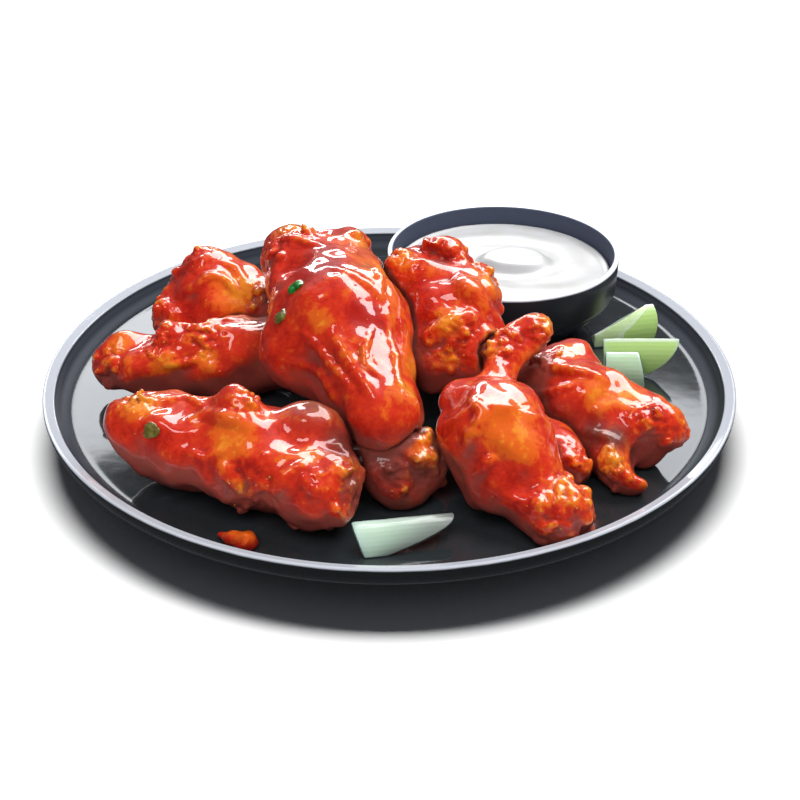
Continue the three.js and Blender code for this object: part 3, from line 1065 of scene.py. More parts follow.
@dataclass(frozen=True)
class CreamFinish:
    """Thick white dip, faintly warm, with a soft skin."""

    white: Colour = linear(205, 206, 208)
    warm: Colour = linear(199, 199, 197)

    def material(self, name: str) -> bpy.types.Material:
        """The cream's material.

        Args:
            name: Name of the material.

        Returns:
            The material.
        """
        shade = Shade(name)
        tone = shade.blend(shade.noise(12.0, 3.0, 0.6).eased(0.35, 0.7), self.white, self.warm)
        return shade.surface({
            "Base Color": tone, "Roughness": 0.34 + shade.noise(4.0, 2.0) * 0.12,
            "Coat Weight": 0.15, "Coat Roughness": 0.25,
            "Normal": shade.bump(shade.noise(3.0, 3.0, 0.5), 0.05),
        })


@dataclass(frozen=True)
class CeleryFinish:
    """Cut celery: green skin, pale wet flesh, paler threads along its ribs, and grey painted shade
    towards one end.
    """

    skin: Colour = linear(172, 208, 120)
    flesh: Colour = linear(222, 240, 200)
    heart: Colour = linear(182, 208, 196)
    # Painted shade: grey towards the far end of a stick.
    painted_end_shade: Colour = linear(100, 102, 100)
    thread: Colour = linear(186, 220, 134)

    def material(self, name: str) -> bpy.types.Material:
        """The celery's material.

        Args:
            name: Name of the material.

        Returns:
            The material.
        """
        shade = Shade(name)
        flesh, thread, pale = shade.kept("flesh"), shade.kept("thread"), shade.kept("pale")
        mottle = shade.noise(5.0, 3.0, 0.6)
        tone = shade.blend((flesh + (mottle - 0.5) * 0.4).eased(0.05, 0.7), self.skin, self.flesh)
        tone = shade.blend(thread * 0.35, tone, self.thread)
        tone = shade.blend((pale + (mottle - 0.5) * 0.25).eased(0.1, 1.0), tone, self.heart)
        # Painted shade greying the stick towards its end.
        tone = shade.blend(shade.kept("painted_end_shade"), tone, self.painted_end_shade)
        pores = shade.cells(0.55)
        return shade.surface({
            "Base Color": tone, "Roughness": 0.28 + mottle * 0.2, "Coat Weight": 0.4,
            "Coat Roughness": 0.12, "Normal": shade.bump(pores * flesh, 0.05),
        })


@dataclass(frozen=True)
class HerbFinish:
    """A bit of green herb under a film of sauce."""

    leaf: Colour
    dark: Colour

    def material(self, name: str) -> bpy.types.Material:
        """The herb's material.

        Args:
            name: Name of the material.

        Returns:
            The material.
        """
        shade = Shade(name)
        tone = shade.blend(shade.noise(1.6, 3.0, 0.6).eased(0.35, 0.65), self.dark, self.leaf)
        return shade.surface({
            "Base Color": tone, "Roughness": 0.3 + shade.noise(1.0) * 0.1, "Coat Weight": 1.0,
            "Coat Roughness": 0.06, "Normal": shade.bump(shade.noise(0.9, 2.0), 0.15),
        })


# ------------------------------------------------------------------ plate, bowl and cream


def bend(start: Pair, corner: Pair, end: Pair, steps: int) -> List[Pair]:
    """Points of a rounded corner between two points of a profile.

    Args:
        start: First point.
        corner: Point that the curve bulges towards.
        end: Last point.
        steps: Number of steps.

    Returns:
        The points, both ends among them.
    """
    points = []
    for n in range(steps + 1):
        t = n / steps
        weights = ((1 - t) ** 2, 2 * t * (1 - t), t * t)
        points.append(tuple(
            sum(w * p[axis] for w, p in zip(weights, (start, corner, end))) for axis in (0, 1)
        ))
    return points


def turned_mesh(name: str, profile: Sequence[Pair], sides: int, centre: Triple,
                finish: bpy.types.Material, tree: bpy.types.NodeTree) -> bpy.types.Mesh:
    """A body turned from a profile.

    Args:
        name: Name of the mesh.
        profile: Radius and height of each point, from the axis round to the axis.
        sides: Number of sides.
        centre: Place of the axis at height zero.
        finish: Material of the body.
        tree: The turning tree.

    Returns:
        The plain mesh.
    """
    start = bpy.data.meshes.new("start")
    start.from_pydata([(radius * MM, 0.0, height * MM) for radius, height in profile],
                      [(n, n + 1) for n in range(len(profile) - 1)], [])
    return evaluated(name, start, tree, {
        "Sides": sides, "Centre": tuple(value * MM for value in centre), "Finish": finish,
    })


@dataclass
class Plate:
    """The coupe plate: a flat well, a low wall and a pale lip."""

    rim_radius: float = 127.0
    lip_width: float = 4.2
    lip_height: float = 17.0
    lip_drop: float = 1.1
    floor_height: float = 10.0
    floor_radius: float = 115.5
    curve_rise: float = 3.6
    foot_radius: float = 83.0
    foot_width: float = 5.0
    foot_height: float = 2.2
    foot_slope: float = 0.8
    foot_fillet: Pair = (3.0, 1.2)
    flare: Pair = (15.0, 3.0)
    wall_lean: float = 0.9
    sides: int = 240
    well_swell: float = 1.4

    def profile(self) -> List[Pair]:
        """Outline from the underside's middle, round the lip, to the well's middle.

        Returns:
            Radius and height of each point.
        """
        rim, foot, under = self.rim_radius, self.foot_radius, self.foot_height
        top, low, floor = self.lip_height, self.lip_height - self.lip_drop, self.floor_height
        lip = rim - self.lip_width
        foot_inner = foot - self.foot_width
        step = foot_inner + self.foot_slope
        wall = lip - self.wall_lean
        flare_in, flare_up = self.flare
        fillet_in, fillet_up = self.foot_fillet
        return [
            (0.0, under),
            (foot_inner - 1.0, under),
            *bend((foot_inner - 0.4, under), (foot_inner, under),
                  (foot_inner + 0.2, under - 0.5), 3),
            *bend((step - 0.2, 0.5), (step, 0.0), (step + 0.6, 0.0), 3),
            *bend((foot - 0.6, 0.0), (foot, 0.0), (foot + 0.4, 0.4), 3),
            *bend((foot + 1.0, under - 0.4), (foot + 1.6, under + 0.6),
                  (foot + fillet_in, under + fillet_up), 3),
            (rim - flare_in - 8.0, under + flare_up - 0.9),
            *bend((rim - flare_in, under + flare_up), (rim - 0.9, under + flare_up + fillet_up),
                  (rim, top - 1.6), 10),
            *bend((rim, top - 0.9), (rim, top), (rim - 0.9, top - 0.1), 6),
            (rim - 1.4, top - 0.25),
            (lip + 1.4, low + 0.25),
            *bend((lip + 0.9, low + 0.12), (lip, low), (lip, low - 0.9), 5),
            (lip - 0.1, low - 1.4),
            *bend((wall, floor + self.curve_rise), (wall - 0.9, floor),
                  (self.floor_radius, floor), 10),
            (self.floor_radius - 0.8, floor),
            (self.floor_radius * 0.66, floor),
            (self.floor_radius * 0.33, floor),
            (0.0, floor),
        ]

    def well_height(self, radius: np.ndarray) -> np.ndarray:
        """Height of the inner surface at a distance from the middle."""
        reach = self.rim_radius - self.lip_width - self.floor_radius
        climb = np.maximum(radius - self.floor_radius, 0.0) / reach
        return self.floor_height + self.curve_rise * self.well_swell * climb * climb

    def build(self, tree: bpy.types.NodeTree) -> None:
        """Makes the plate.

        Args:
            tree: The turning tree.
        """
        lip_inner = self.rim_radius - self.lip_width
        glaze = GlazeFinish(rim_height=self.lip_height - self.lip_drop - 0.5, rim_fade=0.35,
                            lean=self.lip_drop / self.lip_width, wall_fade=1.5)
        finish = glaze.material("plate_glaze", (0.0, 0.0), self.floor_radius + 2.6, lip_inner + 0.2)
        mesh = turned_mesh("plate_body", self.profile(), self.sides, (0, 0, 0), finish, tree)
        place("plate_body", mesh, finish, ["plate"], "plate_glaze")


@dataclass
class Bowl:
    """The small dark dip bowl with a pale lip."""

    centre: Pair = (44.5, 47.0)
    base: float = 10.32
    rim_radius: float = 45.6
    height: float = 31.5
    lip_width: float = 2.2
    floor_thickness: float = 4.8
    wall_drop: float = 14.0
    base_radius: float = 29.0
    foot_height: float = 1.2
    foot_width: float = 4.0
    belly: float = 5.0
    sides: int = 144

    def hollow(self, margin: float) -> List[Pair]:
        """Inside of the bowl from its middle up to the lip.

        Args:
            margin: How far it is drawn in.

        Returns:
            Radius and height of each point.
        """
        inner = self.rim_radius - self.lip_width - margin
        floor = self.floor_thickness + margin
        return [
            (0.0, floor),
            (self.base_radius * 0.5, floor),
            *bend((self.base_radius - self.foot_width, floor), (inner - self.belly, floor + 1.0),
                  (inner - 0.6, self.height - self.wall_drop), 14),
            (inner - 0.3, self.height - self.wall_drop * 0.5),
        ]

    def profile(self) -> List[Pair]:
        """Outline from the underside's middle, round the lip, to the hollow's middle.

        Returns:
            Radius and height of each point.
        """
        rim, bottom, top, under = self.rim_radius, self.base_radius, self.height, self.foot_height
        shoulder = top - self.wall_drop
        inner = rim - self.lip_width
        foot = bottom - self.foot_width
        return [
            (0.0, under),
            (foot - 1.4, under),
            *bend((foot - 1.0, under), (foot, under), (foot, 0.4), 3),
            (foot + 0.4, 0.0),
            (bottom - 0.6, 0.0),
            *bend((bottom, 0.1), (bottom + 1.2, 0.8), (bottom + 1.8, 1.8), 3),
            *bend((bottom + 2.3, 2.4), (rim - 3.4, shoulder - self.belly),
                  (rim - 0.5, shoulder), 12),
            (rim - 0.1, top - 5.0),
            *bend((rim, top - 1.0), (rim, top), (rim - 0.9, top), 5),
            *bend((inner + 0.7, top), (inner, top), (inner, top - 0.9), 4),
            *reversed(self.hollow(0.0)),
        ]

    def build(self, tree: bpy.types.NodeTree) -> None:
        """Makes the bowl.

        Args:
            tree: The turning tree.
        """
        glaze = GlazeFinish(
            body=linear(36, 39, 44), cloud=linear(43, 47, 54), wall=linear(66, 72, 90),
            side=linear(36, 39, 44),
            rim=linear(228, 232, 240), rim_height=self.base + self.height - 0.9, rim_fade=0.4,
            roughness=0.34, coat=0.12,
        )
        inner = self.rim_radius - self.lip_width
        finish = glaze.material("bowl_glaze", self.centre, inner - 1.4, inner + 0.5)
        mesh = turned_mesh(
            "bowl_body", self.profile(), self.sides, (*self.centre, self.base), finish, tree
        )
        place("bowl_body", mesh, finish, ["dip_bowl"], "bowl_glaze")


@dataclass
class Cream:
    """The creamy dip: it fills the bowl, with a soft dollop and the marks of a spoon."""

    bowl: Bowl = field(default_factory=Bowl)
    below_rim: float = 7.6
    dollop_at: Pair = (5.0, 4.0)
    dollop_reach: Pair = (15.5, 12.0)
    dollop_rise: float = 3.2
    gap: float = 0.32
    sides: int = 160
    rings: int = 64
    seed: int = 41

    def build(self) -> None:
        """Makes the cream."""
        bowl = self.bowl
        level = bowl.height - self.below_rim
        edge = bowl.rim_radius - bowl.lip_width - 0.6 - self.gap
        wall = [point for point in bowl.hollow(self.gap) if point[1] < level - 1.2]
        wall += [(edge - 0.05, level - 0.8), (edge, level)]
        rings = [np.array([[0.0, 0.0, wall[0][1]]])]
        rings += [circle(radius, height, self.sides) for radius, height in wall[1:]]
        lumps = Lumpiness(self.seed)
        tops = [circle(edge * (1.0 - ring / self.rings), level, self.sides)
                for ring in range(1, self.rings)]
        for top in (*tops, np.array([[0.0, 0.0, level]])):
            top[:, 2] += self.relief(top, edge, lumps)
            rings.append(top)
        points, faces = capped(rings, True)
        points += np.array([*bowl.centre, bowl.base])
        place("cream_dip", mesh_from("cream_dip", points, faces),
              CreamFinish().material("cream_dip"), ["dip"], "cream_dip")

    def relief(self, points: Points, edge: float, lumps: Lumpiness) -> np.ndarray:
        """Height of the cream above its level.

        Args:
            points: Places from the bowl's middle.
            edge: Radius of the cream.
            lumps: Noise of its surface.

        Returns:
            One height for each place.
        """
        across = (points[:, 0] - self.dollop_at[0]) / self.dollop_reach[0]
        back = (points[:, 1] - self.dollop_at[1]) / self.dollop_reach[1]
        reach = np.hypot(across, back)
        turn = np.arctan2(back, across)
        dollop = 1.0 - smooth(0.66, 1.02 + 0.05 * np.cos(turn * 2 + 0.6), reach)
        trough = np.exp(-((reach - 1.22) / 0.2) ** 2) * (0.5 + 0.5 * np.cos(turn + 2.4))
        radius = np.hypot(points[:, 0], points[:, 1])
        climb = smooth(edge - 2.6, edge, radius) * 0.7
        swirl = 0.22 * np.sin(reach * 5.2 - turn * 2.0) * smooth(1.0, 1.5, reach)
        return (self.dollop_rise * dollop - 0.7 * trough + climb
                + swirl * (1.0 - smooth(edge - 8.0, edge - 1.0, radius))
                + 0.12 * lumps.heights(points, 9.0))


# ------------------------------------------------------------------ celery


@dataclass
class CeleryStick:
    """A stick of celery, a crescent in section, lying on the well with its ends cut."""

    name: str
    start: Pair
    end: Pair
    radius: float
    thickness: float
    span: float
    roll: float
    cuts: Tuple[Triple, Triple]
    pale: float
    seed: int
    rest: float = 10.32
    across: int = 64
    layers: int = 7
    stations: int = 40
    rib_count: int = 9
    rib_height: float = 0.02
    edge_round: float = 0.5
    peel: float = 0.0
    # How strongly the painted shade greys the stick towards its end.
    fade: float = 0.0

    def __post_init__(self) -> None:
        """Works out the stick's directions and the places across its section."""
        self.first = np.array([*self.start, 0.0])
        self.length, *self.axes = axes_of(self.first, np.array([*self.end, 0.0]))
        self.half = math.radians(self.span / 2)
        self.turns = np.linspace(-self.half, self.half, self.across)
        self.depth = np.linspace(0.0, 1.0, self.layers)
        wave = np.cos(self.turns / self.half * math.pi * self.rib_count)
        self.ribs = np.maximum(wave, 0.0) ** 0.6

    def build(self, finish: bpy.types.Material) -> None:
        """Makes the stick.

        Args:
            finish: Celery material.
        """
        stations = self.station_shares()
        points = self.laid(stations)
        grid = np.arange(len(points)).reshape(len(stations), self.across, self.layers)
        notes = self.notes(np.array([share for share, _ in stations]))
        mesh = mesh_from(self.name, points, self.faces(grid), notes)
        place(self.name + "_stick", mesh, finish, [self.name], "celery_flesh")

    def section(self) -> Points:
        """Crescent of the stick, ribbed on its outside.

        Returns:
            Height and width of each point, by place across and depth.
        """
        facing = np.stack([np.cos(self.turns), np.sin(self.turns)], axis=1)
        outer = facing * self.radius
        inner_turns = self.turns * 0.94
        inner = np.stack([np.cos(inner_turns), np.sin(inner_turns)], axis=1)
        inner *= self.radius - self.thickness
        inner[:, 0] += self.thickness * 0.35
        section = outer[:, None] + (inner - outer)[:, None] * self.depth[None, :, None]
        rib = facing * (self.ribs * self.rib_height - self.rib_height)[:, None]
        section += rib[:, None] * ((1.0 - self.depth) ** 3)[None, :, None]
        return section.reshape(-1, 2)

    def laid(self, stations: Sequence[Pair]) -> Points:
        """Points of the stick where it lies.

        Args:
            stations: Shares of the length where a section stands, and how far it draws in there.

        Returns:
            The points, station by station.
        """
        section = self.section()
        middle = section.mean(axis=0)
        slices = []
        for share, shrink in stations:
            flat = middle + (section - middle) * (1.0 - shrink)
            belly = 1.0 - (flat[:, 1] / (self.radius * math.sin(self.half))) ** 2
            near, far = (cut[0] * np.minimum(flat[:, 1], cut[1]) + cut[2] * belly
                         for cut in self.cuts)
            run = share * self.length + near * (1.0 - share) + far * share
            slices.append(np.column_stack([flat, run]))
        height, width, run = np.concatenate(slices).T[..., None]
        height = height + (self.thickness / 2 - self.radius)
        angle = math.radians(self.roll)
        up = height * math.cos(angle) - width * math.sin(angle)
        right = height * math.sin(angle) + width * math.cos(angle)
        along, side, above = self.axes
        points = self.first + up * above + right * side + run * along
        points += 0.12 * Lumpiness(self.seed).heights(points, 7.0)[:, None] * UP
        points[:, 2] += self.rest - points[:, 2].min()
        return points

    def notes(self, shares: np.ndarray) -> Notes:
        """How the finish lies: the flesh, the threads, where it is pale, and the painted shade that
        greys it towards its end.

        Args:
            shares: Share of the length of each station.

        Returns:
            The notes, by station, place across and depth.
        """
        run = shares[:, None, None]
        shape = (len(shares), self.across, self.layers)
        edge = smooth(0.76, 0.95, np.abs(self.turns) / self.half)
        flesh = np.tile(smooth(0.0, 0.45, self.depth), (*shape[:2], 1))
        flesh = np.maximum(flesh, edge[None, :, None])
        thread = (self.ribs * (1 - edge))[:, None] * (1.0 - self.depth) ** 4
        tip = np.maximum(smooth(0.1, 0.0, run), smooth(0.9, 1.0, run))
        skin_pale = (1.0 - flesh) * (self.pale * 1.7 - 0.75)
        pale = np.clip(flesh * self.pale + skin_pale + tip * 0.25, 0.0, 1.0)
        if self.peel:
            flesh = np.maximum(flesh, 0.4 * smooth(self.peel, self.peel - 0.04, run))
            ridge = smooth(0.07, 0.0, np.abs(run - self.peel))
            flesh, pale = np.maximum(flesh, ridge), np.maximum(pale, 0.55 * ridge)
        # Painted shade, growing towards the stick's end.
        painted_end_shade = self.fade * smooth(0.1, 1.0, run)
        return {"flesh": flesh, "painted_end_shade": np.broadcast_to(painted_end_shade, shape),
                "thread": np.broadcast_to(thread, shape), "pale": pale}

    def station_shares(self) -> List[Pair]:
        """Shares of the length where a section stands, and how far it draws in there.

        Returns:
            The stations, from start to end.
        """
        round_share = self.edge_round / self.length
        ease = [(0.0, 0.05), (round_share * 0.3, 0.02), (round_share, 0.0)]
        inner = [(s, 0.0) for s in np.linspace(round_share * 2, 1 - round_share * 2, self.stations)]
        return ease + inner + [(1 - share, shrink) for share, shrink in reversed(ease)]

    def faces(self, grid: np.ndarray) -> np.ndarray:
        """Faces of the stick's four sides and its two cut ends.

        Args:
            grid: Point numbers by station, place across and depth.

        Returns:
            The outward faces.
        """
        faces = []
        for side, flip in ((grid[:, :, 0], False), (grid[:, :, -1], True), (grid[:, 0], True),
                           (grid[:, -1], False), (grid[0], False), (grid[-1], True)):
            ring = np.stack([side[:-1, :-1], side[:-1, 1:], side[1:, 1:], side[1:, :-1]], axis=-1)
            faces.append(ring.reshape(-1, 4)[:, ::-1 if flip else 1])
        return np.concatenate(faces)


CELERY = (
    CeleryStick("celery_back", (85.5, 28.4), (103.5, 32.0), 11.0, 7.0, 86.0, 62.0,
                ((-2.15, 3.0, 0.0), (-0.1, 20.0, 1.0)), 0.4, 51, peel=0.42),
    CeleryStick("celery_right", (80.0, 1.8), (102.5, 1.8), 10.5, 3.6, 86.0, 76.0,
                ((0.0, 20.0, 0.0), (-0.85, 20.0, 2.4)), 0.55, 52),
    CeleryStick("celery_end", (80.0, -5.8), (93.5, -6.2), 9.0, 3.6, 94.0, 64.0,
                ((0.0, 20.0, 0.0), (0.2, 20.0, 0.0)), 0.8, 53),
    CeleryStick("celery_front", (-9.0, -108.5), (10.0, -105.4), 8.5, 3.4, 88.0, 38.0,
                ((0.25, 20.0, -0.5), (-1.9, 20.0, 6.5)), 0.9, 54, fade=0.85),
)


# ------------------------------------------------------------------ wings


class Cut(Enum):
    """Which joint of the wing a piece is."""

    DRUMETTE = "drumette"
    FLAT = "flat"


@dataclass(frozen=True)
class Crag:
    """A patch of small lumps of crust: where it lies, how far it spreads, and how many lumps."""

    share: float
    turn: float
    reach: float
    spread: float
    count: int
    size: float


@dataclass
class Wing:
    """One piece of wing, from its meaty end to its bony end.

    A lump or a dent is a share of the length, a turn about the axis, a reach from the axis and a
    radius. A welt is a path of shares and turns over the skin, with its height and its width.
    """

    name: str
    cut: Cut
    seed: int
    start: Triple
    end: Triple
    girth: float
    shaft: float
    knob: float
    fullest: float
    crown: float = 0.8
    waist: Pair = (0.7, 10.0)
    spread: Pair = (6.0, 10.0)
    roll: float = 0.0
    bow: Pair = (0.0, 0.0)
    lumps: Sequence[Spot] = ()
    dents: Sequence[Spot] = ()
    crags: Sequence[Crag] = ()
    welts: Sequence[Path] = ()
    # Painted light: spots drawn thinner and more orange; a negative radius paints shade there.
    painted_light_spots: Sequence[Spot] = ()
    # Painted shade: spots drawn dark where shadow falls.
    painted_shade_spots: Sequence[Spot] = ()
    waves: float = 1.0
    ripple: float = 0.28

    def __post_init__(self) -> None:
        """Works out the piece's directions and its main limbs."""
        self.first, self.last = np.array(self.start), np.array(self.end)
        self.length, self.along, self.side, self.above = axes_of(self.first, self.last)
        self.limbs = self.main_limbs()
        self.details: List[Tuple[Limb, float]] = []

    def box(self) -> Tuple[Points, Points]:
        """Corners of a box with room for the piece.

        Returns:
            Its lowest and its highest corner.
        """
        span = 2.0 * self.girth + 12.0
        return np.minimum(self.first, self.last) - span, np.maximum(self.first, self.last) + span

    def at(self, share: float, turn: float = 0.0, reach: float = 0.0) -> np.ndarray:
        """A point given by its share of the length, a turn about the axis and a distance from it.

        Args:
            share: 0 at the meaty end, 1 at the bony end.
            turn: Degrees about the axis, 0 on top and 90 to the right.
            reach: Distance from the bowed axis.

        Returns:
            The point.
        """
        bulge = 4.0 * share * (1.0 - share)
        angle = math.radians(turn)
        return (self.first + self.along * share * self.length
                + self.side * (self.bow[0] * bulge + math.sin(angle) * reach)
                + self.above * (self.bow[1] * bulge + math.cos(angle) * reach))

    def main_limbs(self) -> List[Limb]:
        """The limbs that make up the meat and the bones, with the larger lumps.

        Returns:
            The limbs, the meat first.
        """
        if self.cut is Cut.DRUMETTE:
            limbs = [
                Limb(self.at(0), self.girth * self.crown, self.at(self.fullest), self.girth),
                Limb(self.at(self.fullest), self.girth, self.at(self.waist[0]), self.waist[1]),
                Limb(self.at(self.waist[0]), self.waist[1], self.at(0.97), self.shaft),
                Limb(self.at(0.98), self.knob, self.at(1), self.knob),
            ]
        else:
            turn = 90.0 + self.roll
            near, far = self.spread
            taper = self.girth + (self.shaft - self.girth) * 0.8
            limbs = [
                Limb(self.at(0, turn, near * 0.5), self.girth * 0.78,
                     self.at(1, turn, far * 0.5), self.shaft),
                Limb(self.at(0.02, turn, -near * 0.5), self.girth * 0.78,
                     self.at(0.94, turn, -far * 0.5), self.shaft * 0.92),
                Limb(self.at(0.08), self.girth * 0.86, self.at(self.fullest), self.girth),
                Limb(self.at(self.fullest), self.girth, self.at(0.8, turn, -far * 0.2), taper),
                Limb(self.at(1, turn, far * 0.45), self.knob,
                     self.at(1.02, turn, far * 0.3), self.knob * 0.9),
            ]
        return limbs + [self.ball(spot) for spot in self.lumps]

    def ball(self, spot: Spot) -> Limb:
        """The ball of a lump or a dent."""
        share, turn, reach, radius = spot
        centre = self.at(share, turn, reach)
        return Limb(centre, radius, centre, radius)

    def body(self, points: Points) -> np.ndarray:
        """Distance to the wing's skin without its small lumps.

        Args:
            points: Places in millimetres.

        Returns:
            One distance for each point.
        """
        distance = self.limbs[0].distance(points)
        for limb in self.limbs[1:]:
            distance = melt(distance, limb.distance(points), MELT)
        for spot in self.dents:
            distance = -melt(-distance, self.ball(spot).distance(points), MELT)
        for wavelength, height in WAVES:
            distance -= height * self.waves * skin_waves(points, wavelength, self.seed)
        return distance

    def skin(self, points: Points) -> np.ndarray:
        """Distance to the wing's skin with the small lumps and welts.

        Args:
            points: Places in millimetres.

        Returns:
            One distance for each point.
        """
        distance = self.body(points)
        for limb, softness in self.details:
            near = distance < limb.start_radius + 3.0
            distance[near] = melt(distance[near], limb.distance(points[near]), softness)
        return distance

    def on_skin(self, share: float, turn: float) -> np.ndarray:
        """The point of the skin that lies out from the axis at a share and a turn."""
        reaches = np.arange(0.0, 60.0, 0.25)
        axis, out = self.at(share), self.at(share, turn, 1.0) - self.at(share)
        values = self.body(axis + reaches[:, None] * out)
        return axis + out * reaches[int(np.argmax(values > 0))]

    def add_details(self) -> None:
        """Lays the crags and the welts on the skin."""
        rng = np.random.default_rng(self.seed)
        for crag in self.crags:
            self.lay_crag(crag, rng)
        for path, height, width in self.welts:
            self.lay_welt(path, height * WELT_HEIGHT, width * WELT_WIDTH)

    def lay_crag(self, crag: Crag, rng: np.random.Generator) -> None:
        """Lays a patch of small lumps on the skin.

        Args:
            crag: The patch.
            rng: Where the random numbers come from.
        """
        centre = self.at(crag.share, crag.turn, crag.reach)
        for _ in range(crag.count):
            spot = centre + unit(rng.normal(size=3)) * crag.spread * rng.uniform(0.2, 1.0)
            spot = settle(self.body, spot[None], 30.0, 4)[0]
            size = crag.size * rng.uniform(0.45, 1.15)
            outward = unit(spot - centre)
            spot -= outward * size * rng.uniform(0.1, 0.6)
            drift = unit(np.cross(outward, rng.normal(size=3))) * size * rng.uniform(0.5, 2.4)
            drift += outward * size * rng.uniform(-0.5, 0.4)
            limb = Limb(spot, size, spot + drift, size * rng.uniform(0.3, 0.75))
            self.details.append((limb, size * 0.8))

    def lay_welt(self, path: Sequence[Pair], height: float, width: float) -> None:
        """Lays a ridge of sauce along a path over the skin.

        Args:
            path: Shares and turns that it passes.
            height: How far it stands out.
            width: How thick it is.
        """
        stops = np.array(path, float)
        steps = 3 * (len(stops) - 1)
        where = np.linspace(0, len(stops) - 1, steps + 1)
        shares, turns = (np.interp(where, range(len(stops)), column) for column in stops.T)
        spots = np.array([self.on_skin(share, turn) for share, turn in zip(shares, turns)])
        slopes = slopes_of(self.body, spots, self.body(spots))
        swell = np.sin(np.linspace(0.0, math.pi, steps + 1)) ** 0.5
        sunk = [spot - unit(slope) * (width - height * rise)
                for spot, slope, rise in zip(spots, slopes, swell)]
        thick = width * (0.75 + 0.25 * swell)
        for n in range(steps):
            limb = Limb(sunk[n], thick[n], sunk[n + 1], thick[n + 1])
            self.details.append((limb, width * 1.3))

